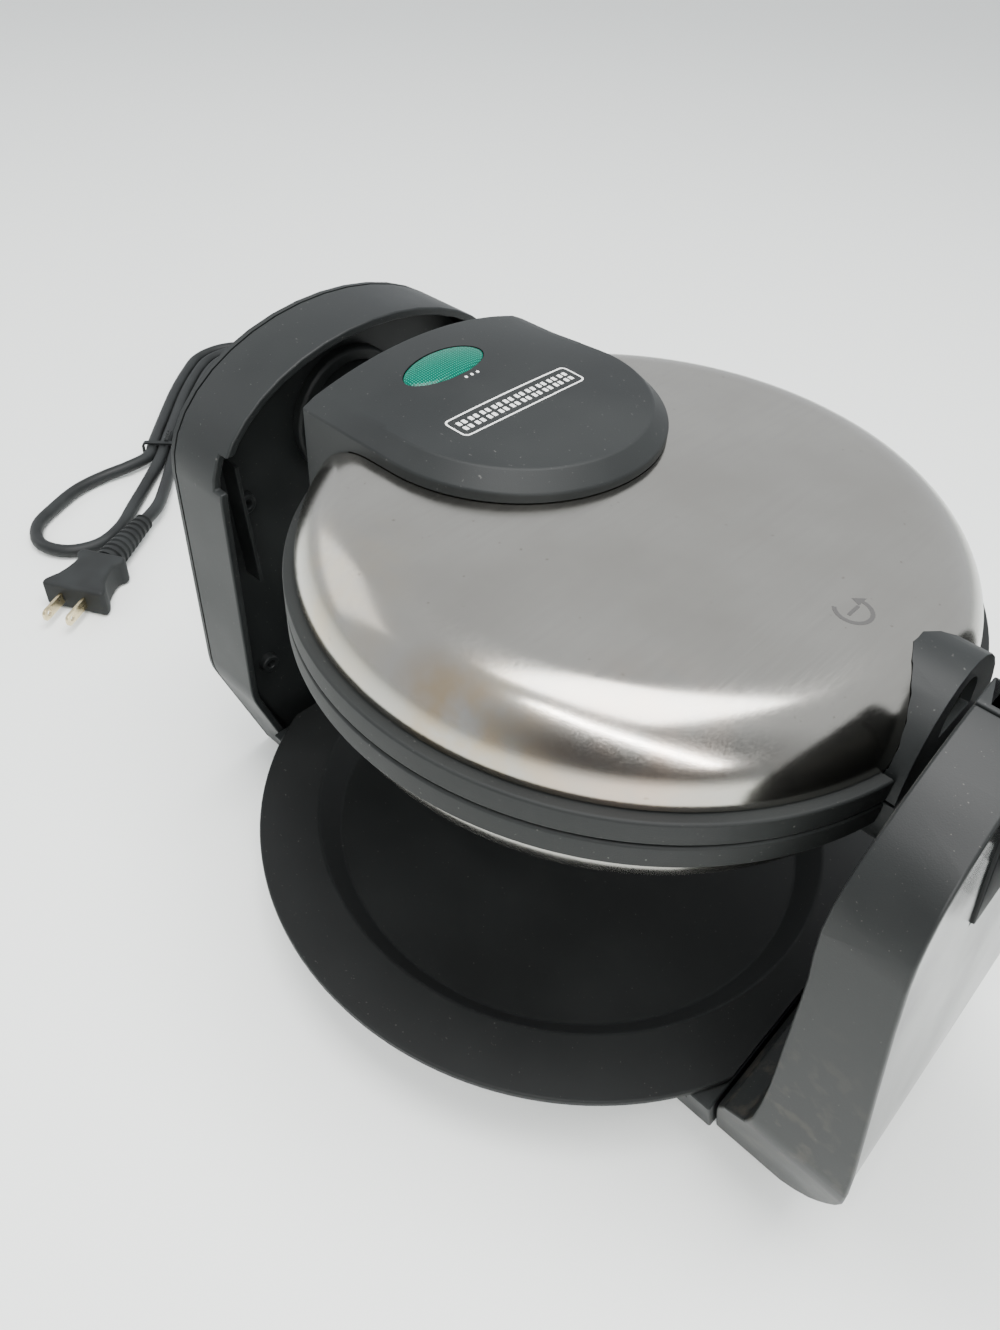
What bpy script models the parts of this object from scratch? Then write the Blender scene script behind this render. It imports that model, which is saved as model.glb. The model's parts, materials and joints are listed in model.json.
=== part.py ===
"""Rotary waffle maker: a round clamshell of two heated halves, turned by a handle between two stands.

Metres, +Z up.  The part stands on z = 0.  The head's centre is at x = HEAD_X, and its flip axis
runs along X at the height AXIS_H.  Pieces of the head are drawn from the head's centre, pieces of
the base from the point on the floor below it, and the cord from the point below its exit.
"""
from math import cos, degrees, pi, radians, sin, sqrt, tan

import bmesh
import bpy
from mathutils import Matrix, Vector

MM = 0.001
GAP = 0.3 * MM              # between pieces that touch
SIDES = 48                  # facets of the large turned pieces
RING_SIDES = 32             # facets of the pivot's pieces, the hub and the guard
SMALL_SIDES = 16            # facets of pins, screws and wires

# ---- head -----------------------------------------------------------------------------------
AXIS_H = 155 * MM           # flip axis above the floor
TRIM_R = 105 * MM           # black rim of each half
TRIM_INNER_R = TRIM_R - 12.5 * MM
PARTING = 0.4 * MM          # each half stays this far from the parting plane
TRIM_T = 8 * MM
TRIM_CHAMFER = 1 * MM
DOME_R = TRIM_R - 3.5 * MM  # steel cover inside the rim
DOME_ROUND = 22 * MM        # radius of its shoulder
DOME_H = 31 * MM            # height of its flat top above the parting plane
DOME_CROWN = 1.2 * MM       # the flat top bulges by this
DOME_T = 1.5 * MM
WELL_R = TRIM_INNER_R - 10.5 * MM
WELL_SLOPE = 4 * MM         # the batter well is this much narrower at its floor
PLATE_FACE = 0.8 * MM       # rim of the grid plate from the parting plane
PLATE_FLOOR = 11 * MM       # depth of the batter well
PLATE_T = 3 * MM
PEG_PITCH = 22 * MM         # waffle cells
PEG_SIZE = 12 * MM
PEG_TIP = 3.5 * MM          # the pegs end this far from the parting plane
HEATER_R = 55 * MM
HEATER_TUBE = 3 * MM

# ---- hinge housing at the rear of the head --------------------------------------------------
COVER_HALF = 49.5 * MM      # half the housing's width, and the radius of its round front
COVER_REAR = 11 * MM - TRIM_R
COVER_CENTRE = COVER_REAR + 41 * MM     # centre of the round front
COVER_EDGE_H = 35 * MM      # where its chamfer starts
COVER_H = 40 * MM
COVER_CHAMFER = 5.5 * MM
COVER_FOOT = 1.5 * MM       # lower edge of its skirt above the parting plane
COVER_WALL = 3 * MM
COVER_CEILING = 36.2 * MM
POCKET_X = COVER_REAR + 21 * MM         # the housing drops over the head's edge behind this line
PIN_X = COVER_REAR + 5 * MM             # lid hinge pin, along Y
PIN_Z = 30 * MM
PIN_R = 2.5 * MM
PIN_PLAY = 0.1 * MM
KNUCKLE_R = 5 * MM
KNUCKLE_OUT = COVER_HALF - 5.5 * MM     # the fixed knuckles lie between these distances
KNUCKLE_IN = KNUCKLE_OUT - 20 * MM      # from the middle
BRACKET_HALF = KNUCKLE_OUT + 1 * MM
BRACKET_LOW = -28 * MM
BRACKET_HIGH = 19 * MM
BRACKET_T = 3 * MM
LENS_X = COVER_REAR + 18.7 * MM
LENS_Y = -7.6 * MM
LENS_LONG = 16 * MM         # half its length, along Y
LENS_WIDE = 7 * MM

# ---- stands ---------------------------------------------------------------------------------
STAND_HALF = 68.6 * MM      # half width
STAND_RISE = 44 * MM        # height of the round top
STAND_RISE_Z = -3 * MM      # centre of the round top from the axis
STAND_BEND_H = 65 * MM      # the sides lean in below this height above the floor
STAND_BEND_R = 30 * MM
STAND_LEAN = radians(19.8)
STAND_WALL = 3 * MM
LEFT_FRONT = -TRIM_R - 12 * MM
LEFT_WEB = LEFT_FRONT - 17.9 * MM
LEFT_REAR = LEFT_FRONT - 26.5 * MM
BACK_COVER_T = 1.8 * MM
EXIT_X = LEFT_REAR - GAP - BACK_COVER_T     # outer face of the left stand's cover
RIGHT_X = TRIM_R + 3.5 * MM             # inner face of the right stand at the axis
# (height above the floor, distance beyond RIGHT_X) along the right stand's faces, from top to bottom
RIGHT_INNER_EDGE = (
    (AXIS_H + 60 * MM, 0), (AXIS_H, 0), (AXIS_H - 20 * MM, 2.2 * MM), (105 * MM, 4.5 * MM),
    (75 * MM, 6.5 * MM), (55 * MM, 4.8 * MM), (43 * MM, -4.3 * MM), (-5 * MM, -5.5 * MM))
RIGHT_OUTER_EDGE = (
    (AXIS_H + 60 * MM, 16.7 * MM), (AXIS_H + 20 * MM, 18.7 * MM), (AXIS_H - 20 * MM, 24 * MM),
    (95 * MM, 30.9 * MM), (55 * MM, 36.7 * MM), (27 * MM, 33 * MM), (9 * MM, 26.5 * MM),
    (-5 * MM, 13.5 * MM))
CRADLE_HALF = 23 * MM
CRADLE_DEPTH = 24 * MM      # the cradle block reaches this far below the axis
LOCK_LEFT = RIGHT_X + 3.9 * MM
LOCK_RIGHT = RIGHT_X + 13.1 * MM

# ---- pivot at the left stand ----------------------------------------------------------------
BARREL_R = 20 * MM
BARREL_BORE = BARREL_R - 3 * MM
BARREL_LEFT = LEFT_REAR + 2 * MM
COLLAR_R = BARREL_R + 5 * MM
COLLAR_T = 4.4 * MM
RETAINER_T = 2.3 * MM

# ---- front brackets, shaft and handle -------------------------------------------------------
TAB_HALF = 26 * MM
TAB_H = 30 * MM
TAB_FOOT = 0.5 * MM
TAB_FACE = TRIM_R - 0.8 * MM
TAB_LEAN = 0.075            # the face leans back by this share of its height
LOWER_TAB_FACE = TRIM_R + 1.7 * MM
TAB_SEAT = TRIM_R - 7 * MM  # the rims are cut back to this line to hold the brackets
WINDOW_HALF = 9 * MM
WINDOW_LOW = 12 * MM
WINDOW_ARCH = 16 * MM       # height of the centre of the window's round top
JOURNAL_R = 13 * MM
JOURNAL_START = RIGHT_X + 1.5 * MM
JOURNAL_END = RIGHT_X + 17.5 * MM
SHAFT_R = JOURNAL_R - 1.2 * MM
SHAFT_END = RIGHT_X + 19.5 * MM
NOTCH_R = JOURNAL_R + GAP
HUB_END = SHAFT_END + 12 * MM
HUB_FLARE = HUB_END - 4 * MM
HUB_NECK_R = JOURNAL_R - 0.5 * MM
HUB_R = 16 * MM
RIB_R = 30 * MM
RIB_COUNT = 12
RIB_HALF_T = 1.5 * MM
GUARD_R = 34 * MM
GUARD_T = 3.7 * MM
GRIP_PIN_X = HUB_END + 17 * MM
GRIP_PIN_R = 4 * MM
GRIP_HALF_T = 10.5 * MM
GRIP_HALF_W = 20 * MM
GRIP_END = GRIP_PIN_X + 68.6 * MM
GRIP_WALL = 2.5 * MM
EAR_R = 8 * MM
EAR_T = 3.5 * MM

# ---- overall layout -------------------------------------------------------------------------
HEAD_X = -(EXIT_X + GRIP_END) / 2       # head's centre, so that the part is centred on the origin
FOOT_H = 1.7 * MM           # the feet lift the shells by this
FOOT_R = 6.5 * MM
FOOT_Y = 38 * MM
FAR = 200 * MM              # how far cutting boxes and blanks reach

# ---- base and drip tray ---------------------------------------------------------------------
TRAY_X = -7.5 * MM
TRAY_R = TRIM_R + 15.2 * MM
TRAY_RIM_T = 3 * MM
TRAY_DISH_R = TRIM_R - 7 * MM
TRAY_FLOOR_R = TRAY_DISH_R - 8 * MM
TRAY_FLOOR_H = 28.8 * MM
TRAY_T = 2.2 * MM
TRAY_LEFT = LEFT_FRONT + 0.5 * MM
TRAY_RIGHT = RIGHT_X - 6.8 * MM
BASE_LEFT = LEFT_FRONT + GAP
BASE_RIGHT = RIGHT_X - 6.3 * MM
BASE_HALF_LOW = 50 * MM
BASE_BLOCK_H = 35.1 * MM
BASE_CHANNEL_H = 24 * MM
BASE_CHANNEL_LEFT = TRAY_X - TRAY_DISH_R - 2 * MM
BASE_CHANNEL_RIGHT = TRAY_X + TRAY_DISH_R + 2.5 * MM
BASE_WALL = 2.5 * MM
BASE_PLATE_T = 2 * MM
BASE_SCREW_INSET = 20 * MM

# ---- cord, drawn from the point on the floor below its exit ----------------------------------
CORD_R = 3.5 * MM
CORD_EXIT_H = 45 * MM
CORD_STEP = 19 * MM         # spacing of the points along the tube
RELIEF_LENGTH = 28 * MM
TIE_LIFT = 5.2 * MM         # height of the cord's middle inside the tie
TIE_SLACK = 0.5 * MM
TIE_BAND = 1 * MM
TIE_HALF_W = 1.5 * MM
TIE_AT = (-234.9 * MM, 51 * MM)
TIE_ANGLE = radians(46)     # direction across the strands
STRAND_PITCH = 7.6 * MM
PLUG_FACE = (-137.4 * MM, -64 * MM)
PLUG_ANGLE = radians(-60.6)  # direction in which the blades point
PLUG_AXIS_H = 7.9 * MM
PLUG_HALF_T = 7.5 * MM
PLUG_LENGTH = 32 * MM
PLUG_RELIEF = 40 * MM
BLADE_PITCH = 12.7 * MM
BLADE_LENGTH = 17 * MM
BLADE_HALF_W = 3.2 * MM
BLADE_HALF_T = 0.75 * MM
# The cord's middle from the strain relief to the plug, in millimetres.
CORD_ROUTE = (
    (-29.4, 0, 45), (-44.4, 1.5, 42.5), (-60.4, 9, 29), (-77.4, 21, 12), (-100.4, 40, 4.6),
    (-126.4, 62, 3.8), (-150.4, 84, 3.8), (-172.4, 107, 3.8), (-191.4, 131, 3.8), (-211.4, 153, 3.8),
    (-237.4, 168, 3.8), (-265.4, 177, 3.8), (-291.4, 186.5, 3.8), (-313.4, 179, 3.8),
    (-326.4, 160, 3.8), (-325.4, 138, 3.8), (-312.4, 119, 3.8), (-292.4, 96, 3.8), (-266.4, 70, 3.8),
    (-246.4, 51.5, 5.1), (-234.2, 40.1, 5.2), (-231.9, 25, 5), (-233.9, 8, 3.8), (-231.4, -10, 3.8),
    (-223.4, -28, 3.8), (-213.4, -44, 3.8), (-197.4, -51, 3.8), (-181.9, -44, 3.8), (-175.9, -28, 3.8),
    (-182.4, -11, 3.8), (-195.4, 5, 3.8), (-209.4, 22, 3.8), (-219.4, 35, 5.1), (-228.4, 45, 5.2),
    (-241.4, 57, 5.1), (-261.4, 75.5, 3.8), (-286.4, 100, 3.8), (-306.4, 123, 3.8), (-317.9, 141, 3.8),
    (-318.9, 160, 3.8), (-308.9, 173.5, 3.8), (-291.4, 179, 3.8), (-271.4, 171, 3.8),
    (-252.4, 157, 3.8), (-230.4, 148, 3.8), (-212.9, 137.5, 3.8), (-209.4, 120, 3.8),
    (-219.4, 105.5, 3.8), (-237.4, 103.5, 3.8), (-250.4, 115, 3.8), (-258.4, 132, 3.8),
    (-265.9, 149, 3.8), (-276.4, 165.2, 3.8), (-291.4, 171.4, 3.8), (-306.4, 165.2, 3.8),
    (-312.2, 151, 3.8), (-304.4, 132.5, 3.8), (-281.4, 105.5, 3.8), (-255.4, 80.5, 3.8),
    (-235.4, 62, 5.1), (-222.6, 49.9, 5.2), (-207.4, 36.5, 5.3), (-190.4, 21.5, 6.4),
    (-179.5, 10.7, 7.9), (-173.1, -0.7, 7.9))


# ---- scene ----------------------------------------------------------------------------------
def clear_scene():
    for obj in list(bpy.data.objects):
        bpy.data.objects.remove(obj, do_unlink=True)


def new_collection(name):
    collection = bpy.data.collections.new(name)
    bpy.context.scene.collection.children.link(collection)
    return collection


def new_empty(name, x, z):
    empty = bpy.data.objects.new(name, None)
    empty.location = (x, 0, z)
    PARTS.objects.link(empty)
    return empty


clear_scene()
PARTS = new_collection("waffle_maker")
CUTTERS = new_collection("cutters")
BASE_POINT = Vector((HEAD_X, 0, 0))
EXIT_POINT = Vector((HEAD_X + EXIT_X, 0, 0))
HEAD_POINT = Vector((HEAD_X, 0, AXIS_H))
# frame name: (parent empty, the point that the frame's pieces are drawn from)
FRAMES = {
    "base": (new_empty("base_point", HEAD_X, 0), BASE_POINT),
    "exit": (new_empty("exit_point", HEAD_X + EXIT_X, 0), EXIT_POINT),
    "head": (new_empty("flip_axis", HEAD_X, AXIS_H), HEAD_POINT),
    "lid": (new_empty("lid_axis", HEAD_X + PIN_X, AXIS_H + PIN_Z), HEAD_POINT),
    "handle": (new_empty("fold_axis", HEAD_X + GRIP_PIN_X, AXIS_H), HEAD_POINT)}


def material(name, color, roughness, metallic=0.0):
    made = bpy.data.materials.new(name)
    made.use_nodes = True
    shader = made.node_tree.nodes["Principled BSDF"]
    shader.inputs["Base Color"].default_value = (*color, 1)
    shader.inputs["Roughness"].default_value = roughness
    shader.inputs["Metallic"].default_value = metallic
    return made


FINISHES = {
    "black": ((0.02, 0.021, 0.023), 0.4, 0.0),
    "gloss": ((0.015, 0.016, 0.018), 0.18, 0.0),
    "steel": ((0.62, 0.61, 0.58), 0.3, 1.0),
    "coated": ((0.03, 0.03, 0.032), 0.35, 0.4),
    "zinc": ((0.55, 0.55, 0.54), 0.4, 1.0),
    "rubber": ((0.03, 0.03, 0.03), 0.8, 0.0),
    "lens": ((0.02, 0.25, 0.12), 0.15, 0.0),
    "lamp": ((0.8, 0.75, 0.6), 0.2, 0.0),
    "brass": ((0.75, 0.62, 0.35), 0.3, 1.0)}


def place(obj, frame):
    """Parent an object, drawn from the frame's point, to the frame's empty."""
    parent, point = FRAMES[frame]
    obj.parent = parent
    obj.location += point - parent.location


def add(name, mesh, frame, finish=None):
    """Make a mesh an object: a piece with its own material, or a cutter when it has no finish."""
    obj = bpy.data.objects.new(name, mesh)
    place(obj, frame)
    if finish is None:
        CUTTERS.objects.link(obj)
        obj.hide_render = True
        obj.display_type = "WIRE"
        return obj
    PARTS.objects.link(obj)
    mesh.materials.clear()
    mesh.materials.append(material(name, *FINISHES[finish]))
    mesh.shade_smooth()
    mesh.set_sharp_from_angle(angle=radians(30))
    return obj


# ---- shapes ---------------------------------------------------------------------------------
def mesh_of(bm):
    mesh = bpy.data.meshes.new("shape")
    bm.to_mesh(mesh)
    bm.free()
    return mesh


def box(low, high):
    bm = bmesh.new()
    size = Vector(high) - Vector(low)
    middle = (Vector(high) + Vector(low)) / 2
    bmesh.ops.create_cube(bm, size=1, matrix=Matrix.Translation(middle) @ Matrix.Diagonal((*size, 1)))
    return mesh_of(bm)


AXIS_TURN = {
    "X": Matrix.Rotation(pi / 2, 4, "Y"),
    "Y": Matrix.Rotation(-pi / 2, 4, "X"),
    "Z": Matrix()}


def cylinder(radius, start, length, axis, sides=SIDES):
    """A cylinder from the point start, along the axis."""
    bm = bmesh.new()
    move = Matrix.Translation(start) @ AXIS_TURN[axis] @ Matrix.Translation((0, 0, length / 2))
    bmesh.ops.create_cone(bm, cap_ends=True, segments=sides, radius1=radius, radius2=radius,
                          depth=length, matrix=move)
    return mesh_of(bm)


# A flat outline is drawn in the curve's XY plane.  These turn that plane to the one named, and the
# curve's Z to the direction of the extrusion.
PLANE_TURN = {
    "XY": Matrix(),
    "YZ": Matrix(((0, 0, 1, 0), (1, 0, 0, 0), (0, 1, 0, 0), (0, 0, 0, 1))),
    "XZ": Matrix(((1, 0, 0, 0), (0, 0, -1, 0), (0, 1, 0, 0), (0, 0, 0, 1)))}


def mesh_from_curve(curve, matrix):
    """The mesh of a curve as it is evaluated, with its caps welded on."""
    obj = bpy.data.objects.new("outline", curve)
    bpy.context.scene.collection.objects.link(obj)
    graph = bpy.context.evaluated_depsgraph_get()
    mesh = bpy.data.meshes.new_from_object(obj.evaluated_get(graph))
    bpy.data.objects.remove(obj)
    bm = bmesh.new()
    bm.from_mesh(mesh)
    bmesh.ops.remove_doubles(bm, verts=bm.verts, dist=1e-6)
    bmesh.ops.transform(bm, matrix=matrix, verts=bm.verts)
    bm.to_mesh(mesh)
    bm.free()
    return mesh


def prism(points, plane, start, end):
    """A flat outline, extruded from start to end along the plane's normal."""
    curve = bpy.data.curves.new("outline", "CURVE")
    curve.dimensions = "2D"
    curve.fill_mode = "BOTH"
    curve.extrude = (end - start) / 2
    spline = curve.splines.new("POLY")
    spline.points.add(len(points) - 1)
    spline.use_cyclic_u = True
    for point, (a, b) in zip(spline.points, points):
        point.co = (a, b, 0, 1)
    direction = -1 if plane == "XZ" else 1
    middle = Matrix.Translation((0, 0, direction * (start + end) / 2))
    return mesh_from_curve(curve, PLANE_TURN[plane] @ middle)


def tube(points, radius):
    curve = bpy.data.curves.new("tube", "CURVE")
    curve.dimensions = "3D"
    curve.bevel_depth = radius
    curve.bevel_resolution = 2
    curve.use_fill_caps = True
    spline = curve.splines.new("POLY")
    spline.points.add(len(points) - 1)
    for point, place_at in zip(spline.points, points):
        point.co = (*place_at, 1)
    return mesh_from_curve(curve, Matrix())


def ordered_down(profile):
    """The profile in the order in which its outer side runs from top to bottom."""
    pairs = zip(profile, profile[1:] + profile[:1])
    area = sum(r0 * z1 - r1 * z0 for (r0, z0), (r1, z1) in pairs)
    return profile[::-1] if area > 0 else profile


def turned(name, profile, frame, finish=None, axis="Z", start=(0, 0, 0), steps=SIDES, spin=0.0):
    """A profile of (radius, distance along the axis) turned about an axis through start."""
    points = ordered_down(list(profile))
    bm = bmesh.new()
    verts = [bm.verts.new((r, 0, z)) for r, z in points]
    for one, two in zip(verts, verts[1:]):
        bm.edges.new((one, two))
    if points[0][0] > 0 or points[-1][0] > 0:
        bm.edges.new((verts[-1], verts[0]))
    obj = add(name, mesh_of(bm), frame, finish)
    obj.location += Vector(start)
    obj.rotation_euler = (Matrix.Rotation(spin, 4, "Z") @ AXIS_TURN[axis]).to_euler()
    screw = obj.modifiers.new("Screw", "SCREW")
    screw.steps = steps
    screw.render_steps = steps
    screw.use_merge_vertices = True
    screw.merge_threshold = 0.00001
    screw.use_smooth_shade = True
    return obj


def boolean(target, operation, *others):
    for other in others:
        modifier = target.modifiers.new(operation.title(), "BOOLEAN")
        modifier.operation = operation
        modifier.object = other
        modifier.solver = "EXACT"
    return target


def cut(target, *others):
    return boolean(target, "DIFFERENCE", *others)


def join(target, *others):
    return boolean(target, "UNION", *others)


def arc(centre, radius, first, last, count):
    """Points on an arc, angles in degrees."""
    angles = [radians(first + (last - first) * i / count) for i in range(count + 1)]
    return [(centre[0] + radius * cos(a), centre[1] + radius * sin(a)) for a in angles]


def spline_points(points, step):
    """Points about one step apart on a smooth curve through the given points."""
    points = [Vector(point) for point in points]
    padded = [2 * points[0] - points[1], *points, 2 * points[-1] - points[-2]]
    fine = []
    for a, b, c, d in zip(padded, padded[1:], padded[2:], padded[3:]):
        for i in range(12):
            t = i / 12
            fine.append(0.5 * (2 * b + (c - a) * t + (2 * a - 5 * b + 4 * c - d) * t * t
                               + (3 * b - a - 3 * c + d) * t ** 3))
    fine.append(points[-1])
    travelled = [0.0]
    for one, two in zip(fine, fine[1:]):
        travelled.append(travelled[-1] + (two - one).length)
    count = round(travelled[-1] / step)
    picked = []
    index = 0
    for i in range(count + 1):
        target = travelled[-1] * i / count
        while index < len(fine) - 2 and travelled[index + 1] < target:
            index += 1
        share = (target - travelled[index]) / (travelled[index + 1] - travelled[index])
        picked.append(fine[index].lerp(fine[index + 1], share))
    return picked


# ---- stands ---------------------------------------------------------------------------------
def stand_outline(inset=0.0):
    """Outline of a stand in the YZ plane, from the flip axis, moved in by an inset."""
    bottom = FOOT_H + GAP - AXIS_H + inset
    half = STAND_HALF - inset
    rise = STAND_RISE - inset
    bend_r = STAND_BEND_R - inset
    side = [(half * cos(radians(a)), STAND_RISE_Z + rise * sin(radians(a))) for a in range(0, 90, 9)]
    bend = arc((STAND_HALF - STAND_BEND_R, STAND_BEND_H - AXIS_H), bend_r, -degrees(STAND_LEAN), 0, 3)
    foot_y = bend[0][0] - (bend[0][1] - bottom) * tan(STAND_LEAN)
    right = [(foot_y, bottom), *bend, *side]
    return right + [(0, STAND_RISE_Z + rise)] + [(-y, z) for y, z in reversed(right)]


def stand_screw(number, y, z):
    """A screw along +X with a flat head, in the back cover."""
    head = 3.2 * MM
    head_t = 0.6 * MM
    shank = 1.6 * MM
    length = 5.5 * MM
    profile = ((0, 0), (head, 0), (head, head_t), (shank, head_t + 0.1 * MM), (shank, length), (0, length))
    start = (EXIT_X + 0.1 * MM, y, z)
    turned(f"back_cover_screw_{number}", profile, "head", "zinc", "X", start, SMALL_SIDES)
    sink = cylinder(head + GAP, (EXIT_X - 1 * MM, y, z), 2 * MM, "X", SMALL_SIDES)
    hole = cylinder(shank + GAP, (EXIT_X - 1 * MM, y, z), length, "X", SMALL_SIDES)
    return add(f"sink_{number}", sink, "head"), add(f"screw_hole_{number}", hole, "head")


def left_stand():
    shell = add("left_stand_shell", prism(stand_outline(), "YZ", LEFT_REAR, LEFT_FRONT), "head", "black")
    inner = stand_outline(STAND_WALL)
    front = add("left_recess", prism(inner, "YZ", LEFT_WEB, LEFT_FRONT + 1 * MM), "head")
    web_back = LEFT_WEB - STAND_WALL
    rear = add("left_rear_hollow", prism(inner, "YZ", LEFT_REAR - 1 * MM, web_back), "head")
    clear = BARREL_R + 2 * GAP
    bore = add("left_bore", cylinder(clear, (LEFT_REAR, 0, 0), 20 * MM, "X", RING_SIDES), "head")
    nick_low = (LEFT_FRONT - 4 * MM, -STAND_HALF - 6.4 * MM, 0)
    nick_high = (LEFT_FRONT + 7 * MM, -STAND_HALF + 8.6 * MM, 12 * MM)
    cut(shell, front, rear, bore, add("left_nick", box(nick_low, nick_high), "head"))
    chamfer = 1 * MM
    ring = ((BARREL_R + GAP, 0), (COLLAR_R, 0), (COLLAR_R, COLLAR_T - chamfer),
            (COLLAR_R - chamfer, COLLAR_T), (BARREL_R + GAP, COLLAR_T))
    turned("left_bearing_collar", ring, "head", "black", "X", (LEFT_WEB + GAP, 0, 0), RING_SIDES)
    back = prism(stand_outline(), "YZ", EXIT_X, LEFT_REAR - GAP)
    cover = add("left_stand_back_cover", back, "head", "black")
    exit_hole = cylinder(CORD_R + 0.5 * MM, (EXIT_X - 1 * MM, 0, CORD_EXIT_H - AXIS_H), 5 * MM, "X")
    cut(cover, add("exit_hole", exit_hole, "head"))
    screws = ((0, BARREL_R + 12 * MM), (-45 * MM, -70 * MM), (45 * MM, -70 * MM))
    for number, (y, z) in enumerate(screws, 1):
        cut(cover, *stand_screw(number, y, z))


def stand_face(edge, shift):
    """A face of the right stand as (x, z) points from top to bottom, moved along X."""
    points = spline_points([(height, x, 0) for height, x in edge], 9 * MM)
    return [(RIGHT_X + p[1] + shift, p[0] - AXIS_H) for p in points]


def right_block(name, outline_inset, inner, inner_shift, outer_shift, finish=None):
    """The stand's outline in the YZ plane, limited by an inner and an outer face."""
    section = stand_face(inner, inner_shift) + stand_face(RIGHT_OUTER_EDGE, outer_shift)[::-1]
    block = add(name, prism(section, "XZ", -90 * MM, 90 * MM), "head", finish)
    outline = prism(stand_outline(outline_inset), "YZ", RIGHT_X - 18.5 * MM, RIGHT_X + 91.5 * MM)
    return boolean(block, "INTERSECT", add(name + "_outline", outline, "head"))


def cradle_box(name, half, depth):
    high = (RIGHT_X + 91.5 * MM, half, 60 * MM)
    return add(name, box((RIGHT_X - 18.5 * MM, -half, -depth), high), "head")


def right_stand():
    cradle_cut = cradle_box("cradle_cut", CRADLE_HALF, CRADLE_DEPTH + GAP)
    shell = right_block("right_stand_shell", 0, RIGHT_INNER_EDGE, 0, 0, "black")
    hollow = right_block("right_hollow", STAND_WALL, RIGHT_INNER_EDGE, STAND_WALL, 30 * MM)
    cut(shell, hollow, cradle_cut)
    cover = right_block("right_stand_outer_cover", STAND_WALL + GAP, RIGHT_OUTER_EDGE,
                        -3.5 * MM, -1 * MM, "gloss")
    cut(cover, cradle_cut)

    cap = right_block("cradle_cap", 0, RIGHT_INNER_EDGE, 0, 0, "black")
    boolean(cap, "INTERSECT", cradle_box("cap_block", CRADLE_HALF - GAP, CRADLE_DEPTH))
    notch = arc((0, 0), NOTCH_R, 180, 360, 16) + [(NOTCH_R, 60 * MM), (-NOTCH_R, 60 * MM)]
    slot = add("cap_slot", prism(notch, "YZ", RIGHT_X - 18.5 * MM, RIGHT_X + 91.5 * MM), "head")
    pocket = box((LOCK_LEFT - 0.4 * MM, -21 * MM, 30 * MM), (LOCK_RIGHT + 0.4 * MM, 0, 60 * MM))
    cut(cap, slot, add("lock_pocket", pocket, "head"))


def flip_lock():
    """A slide in the near horn of the cradle, which moves over the shaft."""
    slide = box((LOCK_LEFT, -20.4 * MM, 30.4 * MM), (LOCK_RIGHT, -14.5 * MM, 38 * MM))
    middle = (LOCK_LEFT + LOCK_RIGHT) / 2
    thumb = box((middle - 2 * MM, -19 * MM, 36 * MM), (middle + 2 * MM, -16 * MM, 41 * MM))
    join(add("flip_lock", slide, "head", "gloss"), add("lock_thumb", thumb, "head"))


# ---- base -----------------------------------------------------------------------------------
def base_section(inset=0.0):
    """Cross-section of the base in the YZ plane, from the floor.  Its sides lean like the stands'."""
    low = FOOT_H + GAP - inset
    high = 60 * MM
    half_low = BASE_HALF_LOW - inset
    half_high = half_low + (high - low) * tan(STAND_LEAN)
    return [(-half_low, low), (half_low, low), (half_high, high), (-half_high, high)]


def base():
    low = FOOT_H + GAP
    side = [(BASE_LEFT, low), (BASE_RIGHT, low), (BASE_RIGHT, BASE_BLOCK_H),
            (BASE_CHANNEL_RIGHT, BASE_BLOCK_H), (BASE_CHANNEL_RIGHT, BASE_CHANNEL_H),
            (BASE_CHANNEL_LEFT, BASE_CHANNEL_H), (BASE_CHANNEL_LEFT, BASE_BLOCK_H),
            (BASE_LEFT, BASE_BLOCK_H)]
    housing = add("base_housing", prism(side, "XZ", -90 * MM, 90 * MM), "base", "black")
    boolean(housing, "INTERSECT", add("base_sides", prism(base_section(), "YZ", -FAR, FAR), "base"))
    left = BASE_LEFT + BASE_WALL
    right = BASE_RIGHT - BASE_WALL
    hollow = add("base_hollow", prism(base_section(BASE_WALL), "YZ", left, right), "base")
    roof = add("base_roof", box((-FAR, -FAR, -10 * MM), (FAR, FAR, BASE_CHANNEL_H - BASE_WALL)), "base")
    boolean(hollow, "INTERSECT", roof)
    cut(housing, hollow)

    half = BASE_HALF_LOW - BASE_WALL - GAP
    plate_low = low + GAP
    plate_high = plate_low + BASE_PLATE_T
    plate = add("base_plate", box((left + GAP, -half, plate_low), (right - GAP, half, plate_high)),
                "base", "black")
    for number, x in enumerate((left + BASE_SCREW_INSET, right - BASE_SCREW_INSET), 1):
        hole = add(f"base_hole_{number}", cylinder(1.9 * MM, (x, 0, 0), 10 * MM, "Z", SMALL_SIDES), "base")
        cut(plate, hole)
        profile = ((0, 0.7 * MM), (3 * MM, 0.7 * MM), (3 * MM, 2 * MM), (1.6 * MM, 2 * MM),
                   (1.6 * MM, 10 * MM), (0, 10 * MM))
        turned(f"base_plate_screw_{number}", profile, "base", "zinc", "Z", (x, 0, 0), SMALL_SIDES)
    left_x = (LEFT_FRONT + LEFT_REAR) / 2
    right_x = RIGHT_X + 11.5 * MM
    feet = ((left_x, -FOOT_Y), (left_x, FOOT_Y), (right_x, -FOOT_Y), (right_x, FOOT_Y))
    for number, (x, y) in enumerate(feet, 1):
        add(f"foot_{number}", cylinder(FOOT_R, (x, y, 0), FOOT_H, "Z", SMALL_SIDES), "base", "rubber")


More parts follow.
